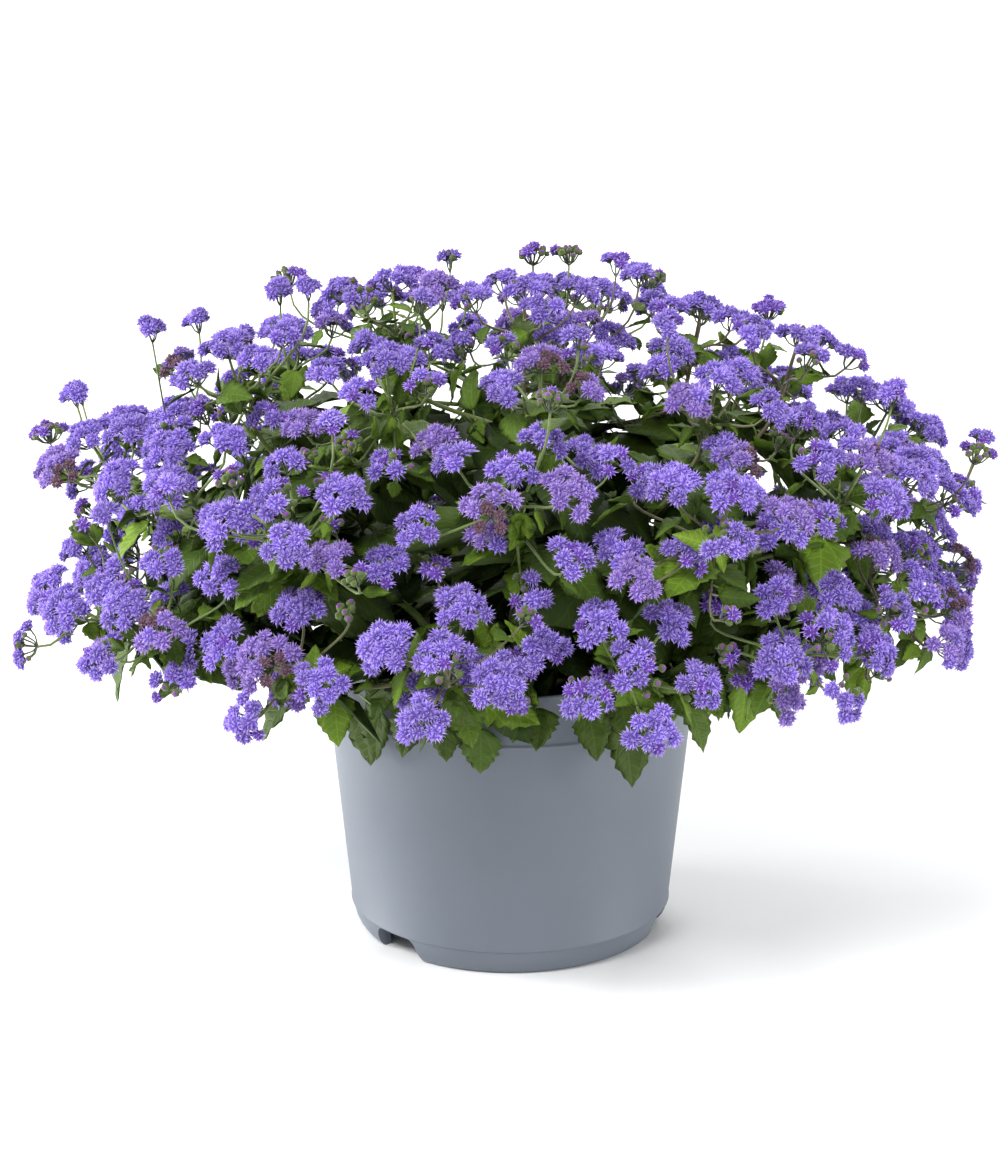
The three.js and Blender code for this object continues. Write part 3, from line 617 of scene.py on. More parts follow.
# %% Lay out one spray
def lay_spray(row, level, i):
    draw = stream(100 * level + i + 1)
    azimuth = row["start"] + (360 / row["sprays"]) * (i + draw(-0.12, 0.12))
    lift = FRONT_LIFT * max(0.0, math.cos(math.radians(azimuth)))
    tilt = row["tilt"] - lift + draw(-5, 5)
    place, normal = on_dome(azimuth, tilt, draw(0.95, 1.04))
    facing = unit(normal * 0.8 + UP * 0.45)
    axes = axes_along(heading(draw(0, 360)), facing)
    laterals = 5 if draw(0, 1) < 0.35 else 4
    centres, radii, drops = [], [], []
    for k in range(laterals + 1):
        angle = 2 * math.pi * k / laterals + draw(-0.15, 0.15)
        offset = axes @ [math.cos(angle), math.sin(angle), 0]
        centres.append(place + offset * (SPACING if k else 0))
        radii.append((18.5 if k else 21) * draw(0.92, 1.06))
        drops.append(5 + draw(-1.5, 1.5) if k else 0)
    fan = 2 * SPACING * math.sin(math.pi / laterals) * 0.97
    crowning = [True] + [False] * laterals
    return {"level": level, "azimuth": azimuth, "place": place, "facing": facing, "centres": centres,
            "radii": radii, "drops": drops, "fans": [fan] * len(radii), "crowning": crowning}


sprays = [lay_spray(row, level, i) for level, row in enumerate(ROWS) for i in range(row["sprays"])]

# %% Push the clusters apart
CLEARANCE, SLACK = 1.2, 1.06
centres, radii, drops, fans, crowning = (
    np.concatenate([spray[key] for spray in sprays])
    for key in ("centres", "radii", "drops", "fans", "crowning"))
owner = np.concatenate([[s] * len(spray["radii"]) for s, spray in enumerate(sprays)])
members = [np.flatnonzero(owner == s) for s in range(len(sprays))]
both_radii = radii[:, None] + radii[None, :]
same = owner[:, None] == owner[None, :]
free = same & (crowning[:, None] | crowning[None, :])
wanted = np.where(same, fans[:, None], (both_radii + CLEARANCE) * SLACK)
damping = np.where(same, 0.6, 0.3)
homes = [spray["place"] for spray in sprays]
for _ in range(160):
    away = centres[None, :, :] - centres[:, None, :]
    apart = np.linalg.norm(away, axis=2)
    close = (apart < wanted) & ~free
    push = np.where(close, damping * (wanted - apart) / np.maximum(apart, 1e-9), 0.0)
    np.fill_diagonal(push, 0.0)
    moves = -(away * push[:, :, None]).sum(axis=1)
    for spray, home, own in zip(sprays, homes, members):
        spray["place"] = spray["place"] + (home - spray["place"]) * 0.02 + moves[own].mean(axis=0)
        crown, round_it = own[0], own[1:]
        centres[crown] = spray["place"]
        flat = centres[round_it] + moves[round_it] - spray["place"]
        flat = unit(flat - np.outer(flat @ spray["facing"], spray["facing"])) * SPACING
        centres[round_it] = spray["place"] + flat - np.outer(drops[round_it], spray["facing"])

# %% Settle each cluster's facing and trimmed radius
apart = np.linalg.norm(centres[None, :, :] - centres[:, None, :], axis=2)
np.fill_diagonal(apart, 1e9)
share = np.where(free, 1.0, (apart / SLACK - CLEARANCE) / both_radii)
radii = radii * np.minimum(share.min(axis=1), 1.0)
facings = np.array([sprays[s]["facing"] for s in owner])
places = np.array([sprays[s]["place"] for s in owner])
facings = unit(facings + 0.35 * (centres - places) / SPACING)
worst = 0.0
for number, (spray, own) in enumerate(zip(sprays, members), 1):
    spray["centres"], spray["radii"], spray["facings"] = centres[own], radii[own], facings[own]
    spray["knot"] = spray["place"] - spray["facing"] * KNOT_DEPTH
    spray["small"] = []
    low, high = (in_millimetres(corner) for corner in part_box(f"bloom_spray_{number:02d}"))
    worst = max(worst, np.abs((low + high) / 2 - centres[own].mean(axis=0)).max())
print("clusters:", len(centres))
print("farthest a spray's middle lies from its packed box:", round(worst, 1), "mm")

# %% [markdown]
# Between the big clusters every shoot also carries small ones, later side shoots that are just coming
# into bloom or are still in bud. They fill the gaps of the dome from a little deeper inside. Of many
# seeded places the one farthest from every cluster so far is taken, again and again, so that the
# widest gaps fill first, the sunny front before the back and the crown. None hang over the rim in
# front, where the leaves show. A few more stand on long stalks and break the dome's outline.

# %% Small clusters in the gaps
SMALL_CLUSTERS, TRIES, EDGE_MARGIN = 135, 5000, 20
WIDEST_SMALL, SPILL, CROWN_HEIGHT = 15.5, 1.15, 335
RIM_VIEW = {"half width": 110, "distance": 100, "height": 205}
SMALL_AGES = ["young"] * 2 + ["full"] * 4 + ["mauve"]
SHORT_STALK, LONG_STALK = 30, 50
crowd = list(zip(centres, radii, facings))
knots = np.array([spray["knot"] for spray in sprays])


def add_small(place, facing, radius, age, stalk):
    """Give a small cluster to the spray whose knot is nearest, and note the room it takes."""
    nearest = np.argmin(np.linalg.norm(knots - place + facing * stalk, axis=1))
    sprays[nearest]["small"].append((place, facing, radius, age))
    crowd.append((place, radius, facing))


draw = np.random.default_rng(31)
tries = []
while len(tries) < TRIES:
    tilt = math.degrees(math.acos(draw.uniform(-0.1, 1)))
    place, normal = on_dome(draw.uniform(0, 360), tilt, draw.uniform(0.82, 0.99))
    in_front = -place[1] > RIM_VIEW["distance"] and abs(place[0]) < RIM_VIEW["half width"]
    over_the_rim = in_front and place[2] < RIM_VIEW["height"]
    if (np.abs(place[:2]) < high_corner[:2] - EDGE_MARGIN).all() and not over_the_rim:
        tries.append((place, unit(normal * 0.8 + UP * 0.5 + draw.normal(size=3) * 0.18)))
places = np.array([place for place, _ in tries])
room = (np.linalg.norm(places[:, None, :] - centres[None, :, :], axis=2) - radii).min(axis=1)
sunny = -4 * places[:, 1] / DOME_SIZE[1] - 6 * (places[:, 2] > CROWN_HEIGHT)
for number in range(SMALL_CLUSTERS):
    widest = np.argmax(room + sunny)
    place, facing = tries[widest]
    in_bud = number % 3 == 2
    radius = draw.uniform(6.5, 9) if in_bud else min(WIDEST_SMALL, room[widest] * SPILL)
    add_small(place, facing, radius, "budding" if in_bud else pick(draw, SMALL_AGES), SHORT_STALK)
    room = np.minimum(room, np.linalg.norm(places - place, axis=1) - radius)
print("small clusters:", SMALL_CLUSTERS)

# %% A few on long stalks
long_stalks = 28
while long_stalks:
    place, normal = on_dome(draw.uniform(0, 360), draw.uniform(8, 68), draw.uniform(1.06, 1.12))
    radius = draw.uniform(8, 12)
    crowded = any(np.linalg.norm(other - place) < size + radius for other, size, _ in crowd)
    if crowded or (np.abs(place) > high_corner - [radius, radius, 6]).any():
        continue
    age = ("young", "full", "budding")[long_stalks % 3]
    add_small(place, unit(normal * 0.4 + UP), radius, age, LONG_STALK)
    long_stalks -= 1
crowd_centres, crowd_radii, crowd_facings = (np.array(column) for column in zip(*crowd))
print("clusters in all:", len(crowd), "| smallest radius:", round(crowd_radii.min(), 1), "mm")

# %% [markdown]
# ## The flower heads
# A head is a green cup on a thin stalk and, standing out of it, the style arms of its florets. They
# are so many that they hide the cup and each other. A burr gives that look with few faces: a
# closed core with every face raised to a spike of three sides, nearly black violet at the foot and
# lavender at the tip. A head has two burrs in one: a broad, short one fills it, and a fine one with
# a small core makes the long thin arms. Hair particles would be finer, but they don't export.


# %% Burrs
FLATNESS = np.array([1.0, 1.0, 0.84])


def spiral_ways(draw, count, spread, jitter):
    """Directions spread evenly round +Z, out to spread degrees from it."""
    turn = np.arange(count) * GOLDEN_ANGLE + draw.uniform(0, 6.28)
    rise = 1 - (np.arange(count) + 0.5) / count * (1 - math.cos(math.radians(spread)))
    level = np.sqrt(1 - rise**2)
    ways = np.column_stack([level * np.cos(turn), level * np.sin(turn), rise])
    return unit(ways + draw.normal(size=(count, 3)) * jitter)


def burr(draw, middle, count, core, reach, spread, foot_row=0.04, tip_row=0.36, lean=0.12):
    """A closed core of joined spikes: a hull round seeded points, its upper faces raised."""
    base = np.vstack([spiral_ways(draw, count, spread, 0.06) * core, [[0, 0, -0.8 * core]]])
    hull = bmesh.new()
    for place in base:
        hull.verts.new(place)
    hull.verts.index_update()
    bmesh.ops.convex_hull(hull, input=hull.verts[:])
    triangles = [[corner.index for corner in face.verts] for face in hull.faces]
    hull.free()
    corners, rows, faces = list(base), [foot_row + draw.uniform(-0.03, 0.03) for _ in base], []
    for a, b, c in triangles:
        if np.cross(base[b] - base[a], base[c] - base[a]) @ base[a] < 0:
            b, c = c, b
        way = unit(base[a] + base[b] + base[c])
        if way[2] < -0.45:
            faces.append((a, b, c))
            continue
        tip = len(corners)
        corners.append(unit(way + draw.normal(size=3) * lean) * reach * draw.uniform(0.84, 1.1))
        rows.append(tip_row + draw.uniform(-0.07, 0.07))
        faces += [(a, b, tip), (b, c, tip), (c, a, tip)]
    columns = draw.uniform(0.05, 0.95, len(corners)) / SHADES
    return part(UP * middle + np.array(corners) * FLATNESS, faces, np.column_stack([columns, rows]), False)


# %% Cups and stalks
STALK_ROWS = (0.82, 0.98)


def domed(rings, sides, chart_row):
    """A closed rounded form from (radius, height) rings between two poles, on one chart row."""
    corners, faces = turned(rings, sides)
    return part(corners, faces, np.full((len(corners), 2), [0.5 / SHADES, chart_row]))


def tube(points, radii, sides, column):
    """A closed round limb through points, with a radius at each, in a column of the stalk rows."""
    points = np.asarray(points, float)
    along = unit(np.gradient(points, axis=0))
    side = unit(np.cross(along[0], [0.3, 0.5, 0.8]))
    angles = np.arange(sides) * 2 * math.pi / sides
    rings = []
    for point, way, radius in zip(points, along, radii):
        side = unit(side - way * (side @ way))
        across = np.cross(way, side)
        rings.append(point + radius * (np.outer(np.cos(angles), side) + np.outer(np.sin(angles), across)))
    corners = np.vstack([*rings, points[0], points[-1]])
    faces, here, after = ring_faces(len(points), sides)
    foot, tip = len(corners) - 2, len(corners) - 1
    foot_fan = np.column_stack([after, here, np.full(sides, foot)])
    tip_fan = np.column_stack([foot - sides + here, foot - sides + after, np.full(sides, tip)])
    rows = np.concatenate([np.repeat(np.linspace(*STALK_ROWS, len(points)), sides), STALK_ROWS])
    chart = np.column_stack([np.full(len(corners), column), rows])
    return part(corners, np.vstack([faces[:, ::-1], foot_fan, tip_fan]), chart)


# %% The kinds of head
CUP = [(0, 3.4), (2.9, 3.0), (1.9, 0.9), (0, -0.3)]
BUD_CUP = [(0, 3.4), (1.9, 3.0), (2.1, 1.6), (0, -0.3)]
BUD_TOP = [(0, 4.3), (1.0, 3.9), (1.3, 2.9), (0, 2.4)]
# The burrs of each kind: points, core, reach and spread, then rows of the foot and tip, and lean.
BURRS = {
    "open": [(30, 2.0, 7.1, 112, 0.11, 0.42, 0.16), (13, 4.1, 5.9, 106, 0.07, 0.34, 0.1)],
    "opening": [(12, 3.1, 4.2, 95), (15, 1.8, 5.8, 108, 0.13, 0.4, 0.2)],
    "spent": [(12, 2.8, 4.2, 95), (12, 1.8, 5.0, 95, 0.1, 0.4, 0.25)],
}


def head(kind, seed, middle, cup_row):
    """Burrs on a green cup. The first burr of an opening head wears the colours of the disc."""
    draw = np.random.default_rng(seed)
    burrs = [burr(draw, middle, *settings) for settings in BURRS[kind]]
    if kind == "opening":
        chart = burrs[0][2]
        chart[:, 1] = 0.46 + 0.3 * chart[:, 1]
    return joined([*burrs, domed(CUP, 4, cup_row)])


def bud(seed):
    cup_row = np.random.default_rng(seed).uniform(0.64, 0.78)
    return joined([domed(BUD_TOP, 6, (0.54, 0.58, 0.72)[seed % 3]), domed(BUD_CUP, 6, cup_row)])


HEADS = {
    "open": [head("open", seed, 3.4, 0.7) for seed in range(20, 32)],
    "opening": [head("opening", seed, 3.2, 0.7) for seed in range(40, 44)],
    "bud": [bud(seed) for seed in range(51, 57)],
    "spent": [head("spent", seed, 3.0, 0.66) for seed in range(60, 64)],
}
HEADS["mauve"] = HEADS["open"]
COLUMNS_OF = {"mauve": (9, 11), "opening": (11, 13), "bud": (13, 14), "spent": (14, 16)}
print("triangles in a head:", {kind: len(shapes[0][1]) for kind, shapes in HEADS.items()})

# %% [markdown]
# A cluster is a corymb: its heads end at nearly the same height, the outer ones on longer, slanting
# stalks that all leave the tip of one ray. A sunflower spiral spreads the heads evenly without rows
# or rings. Most clusters are in full bloom. In a young one the buds still stand together on one side,
# and in a fading one the maroon heads do.


# %% Fill a cluster with heads
def kind_of_head(draw, age, angle):
    roll = draw.random()
    if age == "budding":
        return "bud" if roll < 0.8 else "opening"
    if age == "young" and math.cos(angle) > 0.25:
        return "bud" if roll < 0.65 else "opening"
    if age == "fading" and math.cos(angle) > 0.5:
        return "spent"
    if age in ("mauve", "fading"):
        return "mauve" if roll < 0.9 else "open"
    return "opening" if roll < 0.06 else "open"


def cluster(draw, centre, facing, radius, age):
    """The heads of one corymb, with their stalks."""
    axes = axes_along(np.array([0.31, 0.2, 0.1]), facing)
    foot = centre - facing * CLUSTER_FOOT
    tight = age == "budding"
    crowding, edge = (0.13, 3.0) if tight else (0.0312, 5.6)
    count = max(5, round(crowding * radius**2))
    turn, family = draw.uniform(0, 6.28), draw.integers(9)
    lobes, lobe_turn = draw.integers(3, 6), draw.uniform(0, 6.28)
    parts = []
    for i in range(count):
        share_out = math.sqrt((i + 0.35) / count)
        angle = i * GOLDEN_ANGLE + draw.uniform(-0.15, 0.15)
        side = axes @ [math.cos(angle + turn), math.sin(angle + turn), 0]
        lobe = 1 if tight else 1 - 0.07 * (1 + math.cos(lobes * angle + lobe_turn))
        out = (radius - edge) * share_out * draw.uniform(0.94, 1.08) * lobe
        rise = 2.2 - 6.2 * share_out**2 * min(1.0, radius / 16) + draw.uniform(-1.2, 1.0)
        kind = kind_of_head(draw, age, angle)
        if kind == "bud" and not tight:
            rise += draw.uniform(-0.5, 2.5)
        base = centre + side * out + facing * rise
        way = unit(facing + side * 0.9 * share_out + draw.normal(size=3) * 0.1)
        size = draw.uniform(0.85, 1.25) if kind == "bud" else draw.uniform(0.86, 1.08)
        column = (family + draw.integers(2)) % 9 if kind == "open" else draw.integers(*COLUMNS_OF[kind])
        turn_head = axes_along(draw.normal(size=3), way)
        parts.append(placed(pick(draw, HEADS[kind]), turn_head, base, size, column / SHADES))
        halfway = foot + (base - foot) * 0.5 + side * out * 0.12 - facing * 0.6
        parts.append(tube([foot, halfway, base], [0.62, 0.52, 0.62], 3, (column + 0.5) / SHADES))
    return parts


# %% [markdown]
# Every spray now gets its heads: the big clusters trimmed a little so that light falls between them,
# more so in the crown, and then the small ones. Each spray has its own seed, so that a change in one
# leaves the others as they are.

# %% Make the sprays
AGES = ["young"] * 9 + ["full"] * 17 + ["mauve"] * 2 + ["fading"] * 2
OPEN_CROWN, CROWN_TRIM, TRIM = 325, 0.8, 0.95
total = 0
for number, spray in enumerate(sprays, 1):
    draw = np.random.default_rng(699 + number)
    heads = []
    for centre, facing, radius in zip(spray["centres"], spray["facings"], spray["radii"]):
        trim = CROWN_TRIM if centre[2] > OPEN_CROWN else TRIM
        heads += cluster(draw, centre, facing, trim * radius, pick(draw, AGES))
    for small in spray["small"]:
        heads += cluster(draw, *small)
    name = f"floss_heads_{number:02d}"
    piece = make_piece(name, joined(heads), [floss], f"bloom_spray_{number:02d}")
    total += len(piece.data.polygons)
print("triangles in all the heads:", total)

# %% [markdown]
# ## The leaves
# A leaf blade is broad near its foot and drawn out to a point, with low rounded teeth. It is folded a
# little along the midrib, arches down to the tip and puffs up between its veins. A plane with a
# displaced texture would need many more faces, so the mesh has just the rows where the teeth and
# notches fall, and a second skin below that closes it. A leaf deep inside gets a plainer mesh.


# %% The skins of a blade
def blade_faces(rows, across, tip, under):
    """The upper skin, and below it two strips from the edges to the keel."""
    faces = []
    for i in range(rows - 1):
        here, after, low = across * i, across * (i + 1), under + i
        for j in range(across - 1):
            a, b, c, d = here + j, after + j, after + j + 1, here + j + 1
            faces += [(a, b, c), (a, c, d)] if (i + j) % 2 else [(a, b, d), (b, c, d)]
        right, right_after = here + across - 1, after + across - 1
        faces += [(here, low, after), (low, low + 1, after)]
        faces += [(low, right, low + 1), (right, right_after, low + 1)]
    end, low = across * (rows - 1), under + rows - 1
    faces += [(end + j, tip, end + j + 1) for j in range(across - 1)]
    faces += [(end, low, tip), (low, end + across - 1, tip)]
    return faces + [(j, j + 1, under) for j in range(across - 1)]


# %% [markdown]
# The corners follow from the outline: the width swells to a quarter of the length and tapers to the
# tip, and every second row stands out as a tooth. Small seeded changes make each blade its own.

# %% One leaf blade
FULL_LENGTH, HALF_WIDTH, STALK_SHARE = 40.0, 15.5, 0.16
BROADEST, PACKED_SAG, KEEL = 0.26, 0.3, 1.0


def blade(seed, sag, narrow=1.0, rows=13, lines=(-1, -0.5, 0, 0.5, 1)):
    """A blade along x with its upper side towards z, from the end of its stalk to its tip."""
    draw = np.random.default_rng(seed)
    wave, lean = draw.uniform(0, 6.28), draw.uniform(-0.06, 0.06)
    across = len(lines)
    corners, chart = [], []
    for i in range(rows):
        share, odd = i / rows, i % 2
        taper = (1 - (max(0.0, share - BROADEST) / (1 - BROADEST)) ** 1.6) ** 0.9
        width = HALF_WIDTH * narrow * min(1.0, (share / BROADEST + 0.02) ** 0.55) * taper
        for column in lines:
            edge = abs(column) == 1
            tooth = (1.05 if odd else 0.9) if edge else 1
            half = width * tooth * draw.uniform(0.96, 1.04)
            x = FULL_LENGTH * (STALK_SHARE + (1 - STALK_SHARE) * (share + 0.02 * (edge and odd)))
            y = column * half + lean * FULL_LENGTH * share**2
            z = -sag * FULL_LENGTH * (x / FULL_LENGTH) ** 2 + 0.2 * abs(column) * half
            z += (0.8 if odd else 0.1) * (abs(column) == 0.5)
            z += 0.9 * abs(column) * math.sin(1.4 * i + wave + math.copysign(2, column))
            corners.append((x, y, z))
            off_middle = 0.46 * column * min(1.0, width / HALF_WIDTH)
            chart.append(((0.5 + off_middle) / COLUMNS, 0.01 + 0.58 * share))
    tip = len(corners)
    corners.append((FULL_LENGTH * 1.01, lean * FULL_LENGTH, -sag * FULL_LENGTH))
    chart.append((0.5 / COLUMNS, 0.59))
    under = len(corners)
    for i in range(rows):
        x, y, z = corners[across * i + across // 2]
        corners.append((x, y, z - KEEL))
        chart.append((0.5 / COLUMNS, 0.62 + 0.16 * i / rows))
    return part(corners, blade_faces(rows, across, tip, under), chart)


# %% The kinds of leaf
EDGES_AND_MIDRIB = (-1, 0, 1)
FREE_SHAPES = [(0.18, 1), (0.3, 0.95), (0.42, 1), (0.26, 0.75), (0.36, 0.85), (0.5, 0.9)]
SMALL_SHAPES = [(0.15, 0.6), (0.3, 0.7), (0.05, 0.5), (0.4, 0.8)]
INNER_SHAPES = [(0.2, 1.1), (0.35, 1.1), (0.5, 1.1)]
PACKED_BLADES = [blade(80 + i, PACKED_SAG) for i in range(6)]
FREE_BLADES = [blade(90 + i, *shape, 10) for i, shape in enumerate(FREE_SHAPES)]
SMALL_BLADES = [blade(100 + i, *shape, 7, EDGES_AND_MIDRIB) for i, shape in enumerate(SMALL_SHAPES)]
INNER_BLADES = [blade(110 + i, *shape, 6, EDGES_AND_MIDRIB) for i, shape in enumerate(INNER_SHAPES)]
kinds = (PACKED_BLADES, FREE_BLADES, SMALL_BLADES, INNER_BLADES)
print("triangles in a leaf:", [len(kind[0][1]) for kind in kinds])

# %% [markdown]
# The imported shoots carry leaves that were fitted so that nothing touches. Their places can be read
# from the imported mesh: the middle of a blade, above and below, is the only corner there that a dozen
# faces share. From the foot, the middle and the tip follow the blade's axis and which side is up.


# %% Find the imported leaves
def packed_leaves(mesh):
    places = np.empty(len(mesh.vertices) * 3)
    mesh.vertices.foreach_get("co", places)
    places = in_millimetres(places.reshape(-1, 3))
    _, first, weld = np.unique(places.round(3), axis=0, return_index=True, return_inverse=True)
    places, weld = places[first], weld.ravel()
    around = [set() for _ in places]
    for face in mesh.polygons:
        ring = [weld[v] for v in face.vertices]
        for corner in ring:
            around[corner].update(ring)
    hubs = [v for v, near in enumerate(around) if len(near) >= 13]
    found, used = [], set()
    for hub in hubs:
        mates = [other for other in hubs if other != hub and len(around[hub] & around[other]) >= 11]
        if not mates or hub in used:
            continue
        used.update((hub, mates[0]))
        middle = (places[hub] + places[mates[0]]) / 2
        ring = np.array(sorted(around[hub] & around[mates[0]] - {hub, mates[0]}))
        tip = ring[np.argmax(np.linalg.norm(places[ring] - middle, axis=1))]
        feet = [v for v in ring if len(around[v]) > 5 and v != tip]
        if feet:
            found.append((places[feet].mean(axis=0), middle, places[tip]))
    return found


def leaf_axes(foot, middle, tip):
    """The axes and size of a packed blade, which sags by a known share of its length at the tip."""
    chord, slant = unit(tip - foot), math.hypot(1, PACKED_SAG)
    up = middle - foot
    up = unit(up - chord * (chord @ up))
    x, z = (chord + PACKED_SAG * up) / slant, (up - PACKED_SAG * chord) / slant
    return np.column_stack([x, np.cross(z, x), z]), np.linalg.norm(tip - foot) / slant / FULL_LENGTH


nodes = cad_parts
leaves_of = {name: packed_leaves(nodes[name].data) for name in nodes if name.startswith("leafy_shoot")}
print("packed leaves found:", sum(len(found) for found in leaves_of.values()))

# %% [markdown]
# ## The shoots
# Each shoot is one main stem that rises from the compost and forks into the knots of its sprays. From
# a knot a fan of thin rays carries the clusters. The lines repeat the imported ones, with more points
# so that they bend smoothly. Real shoots bear their leaves in pairs, each pair square to the last,
# so pairs are set along every stem wherever there is room between the flowers.


# %% Lines of one shoot
GROUND, ROOTED, MAIN_POINTS, SIDE_POINTS = 166, 28, 15, 9


def bend(start, leave, end, arrive):
    """A curve that leaves one point in a direction and arrives at another in a direction."""
    pull = 0.4 * np.linalg.norm(end - start)
    first, second = start + leave * pull, end - arrive * pull
    return lambda t: (
        (1 - t) ** 3 * start + 3 * t * (1 - t) ** 2 * first + 3 * t**2 * (1 - t) * second + t**3 * end)


def lay_shoot(row, own):
    lead = own[len(own) // 2]
    ground = heading(lead["azimuth"]) * row["root"] + UP * GROUND
    outward = unit(lead["knot"] - ground)
    rise = bend(ground, UP, lead["knot"], unit(lead["facing"] + outward))
    lines = []
    for i, spray in enumerate(own):
        knot = spray["knot"]
        if spray is lead:
            points = [ground - UP * ROOTED, *(rise(t) for t in np.linspace(0, 1, MAIN_POINTS))]
            radii = np.linspace(2.8, 1.3, len(points))
        else:
            start = rise(0.6 + 0.2 * (0.7 if i else 0.3))
            path = bend(start, unit(unit(knot - start) + outward), knot, unit(spray["facing"] + outward))
            points = [path(t) for t in np.linspace(0, 1, SIDE_POINTS)]
            radii = np.linspace(1.6, 1.2, len(points))
        lines.append({"spray": spray, "points": np.array(points), "radii": radii})
    return lines


shoots = []
for level, row in enumerate(ROWS):
    own = [spray for spray in sprays if spray["level"] == level]
    cuts = [math.floor(k * len(own) / row["shoots"] + 0.5) for k in range(row["shoots"] + 1)]
    shoots += [lay_shoot(row, own[first:last]) for first, last in zip(cuts[:-1], cuts[1:])]
print("shoots:", len(shoots), "lines:", sum(len(lines) for lines in shoots))


# %% Rays from each knot
def lay_rays(spray, draw):
    """The thin stalks from a knot to the foot of each cluster, big ones first."""
    knot, facing = spray["knot"], spray["facing"]

    def ray(start, centre, its_facing, pull, shares):
        end = centre - its_facing * (CLUSTER_FOOT + 0.2)
        path = bend(start, unit(unit(end - start) + pull * facing), end, its_facing)
        return [path(t) for t in shares]

    rays = []
    for k, (centre, its_facing) in enumerate(zip(spray["centres"], spray["facings"])):
        start = knot + facing * 4 * k * 0.9
        points = ray(start, centre, its_facing, 0.6, (0.2, 0.4, 0.6, 0.8, 1.0))
        rays.append((np.array([start if k else knot - facing, *points]), 0.95 if k else 1.3))
    for centre, its_facing, _, _ in spray["small"]:
        start = knot + facing * draw.uniform(-1, 12)
        rays.append((np.array(ray(start, centre, its_facing, 0.3, np.linspace(0, 1, 9))), 0.85))
    return rays


def stem(points, radii, sides, column):
    """A limb in the stem finish."""
    limb = tube(points, radii, sides, column)
    return *limb[:4], np.ones(len(limb[1]), int)


def stems_of(lines, draw):
    parts = []
    for line in lines:
        column = draw.uniform(0.05, 0.6) if draw.random() < 0.7 else draw.uniform(0.6, 0.97)
        parts.append(stem(line["points"], line["radii"], 7, column))
        for points, width in line["rays"]:
            parts.append(stem(points, np.linspace(width, width * 0.8, len(points)), 4, column))
    return parts


for number, lines in enumerate(shoots):
    draw = np.random.default_rng(800 + number)
    for line in lines:
        line["rays"] = lay_rays(line["spray"], draw)
print("rays:", sum(len(line["rays"]) for lines in shoots for line in lines))

# %% [markdown]
# A leaf may not poke through a cluster or the pot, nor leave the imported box. A few points of each
# blade are tried against all of these, and a leaf that has no room is left out, as a plant drops
# the leaves that get no light.


# %% Room for a leaf
TRIED_POINTS = np.array([
    [40, 0, -11], [30, 0, -6], [20, 0, -2], [20, 10, 1], [20, -10, 1], [32, 7, -5], [32, -7, -5], [10, 0, 0],
])


RIM_TOP, RIM_OUTSIDE, RIM_INSIDE = 181, 116, 106


def has_room(turn, base, size, nearness=0.84, lowest=112):
    points = TRIED_POINTS @ (turn.T * size) + base
    apart = np.linalg.norm(points[:, None, :] - (crowd_centres - crowd_facings)[None, :, :], axis=2)
    if (apart < crowd_radii * nearness).any():
        return False
    if (points < low_corner + 1).any() or (points > high_corner - 1).any():
        return False
    level, height = np.hypot(points[:, 0], points[:, 1]), points[:, 2]
    in_pot = (height < RIM_TOP) & (level < RIM_OUTSIDE) & ((level > RIM_INSIDE) | (height < GROUND))
    return not in_pot.any() and (height > lowest).all()


# %% A leaf with its stalk
def leaf(draw, shapes, columns, turn, base, size, stem_point):
    """A leaf of one of the shapes, in one of the chart's columns, with a stalk from a stem."""
    shape, column = pick(draw, shapes), pick(draw, columns)
    stalk_end = base + turn[:, 0] * (0.17 * FULL_LENGTH * size)
    halfway = (stem_point + stalk_end) / 2 + turn[:, 2] * 0.8
    stalk = stem([stem_point, halfway, stalk_end], [0.75, 0.6, 0.55], 3, draw.uniform(0.2, 0.5))
    return [placed(shape, turn, base, size, column / COLUMNS), stalk]


def leaf_turn(way, upper):
    """Axes of a leaf that points along way and turns its face towards upper."""
    z = unit(upper - way * (way @ upper))
    return np.column_stack([way, np.cross(z, way), z])


def leaf_if_room(draw, shapes, columns, way, upper, foot, size, *limits):
    turn = leaf_turn(way, unit(upper))
    return leaf(draw, shapes, columns, turn, foot, size, foot) if has_room(turn, foot, size, *limits) else []


# %% [markdown]
# The imported leaves grow again in their own places, toothed and quilted now. A stalk joins each of them
# to the nearest point of its shoot's stems. They stand in the light, so they take the bright columns
# of the chart.


# %% The imported leaves again
# Columns 0 to 3 are painted shade for leaves deep inside; the packed leaves in the light take 4 to 9.
PAINTED_SHADE_COLUMNS, ALL_BUT_DARK, LIGHT = range(4), range(3, COLUMNS), range(4, COLUMNS)


def packed_again(name, lines, draw):
    steps = [step for line in lines for step in zip(line["points"][:-1], line["points"][1:])]
    dots = np.vstack([np.linspace(a, b, 4) for a, b in steps])
    parts = []
    for foot, middle, tip in leaves_of[name]:
        turn, size = leaf_axes(foot, middle, tip)
        stem_point = dots[np.argmin(np.linalg.norm(dots - foot, axis=1))]
        parts += leaf(draw, PACKED_BLADES, LIGHT, turn, foot, 0.9 * size, stem_point)
    return parts


# %% [markdown]
# The leaves of a pair leave the stem on opposite sides. Each gets a few tries with another angle and
# size before it is left out. High in the crown only every second pair is tried, because the flowers
# take the room there.


# %% Leaves in pairs
PAIR_SPACING, MAIN_START, SIDE_START, PAIR_TRIES, PAIRS_THIN_FROM = 14, 34, 12, 5, 310


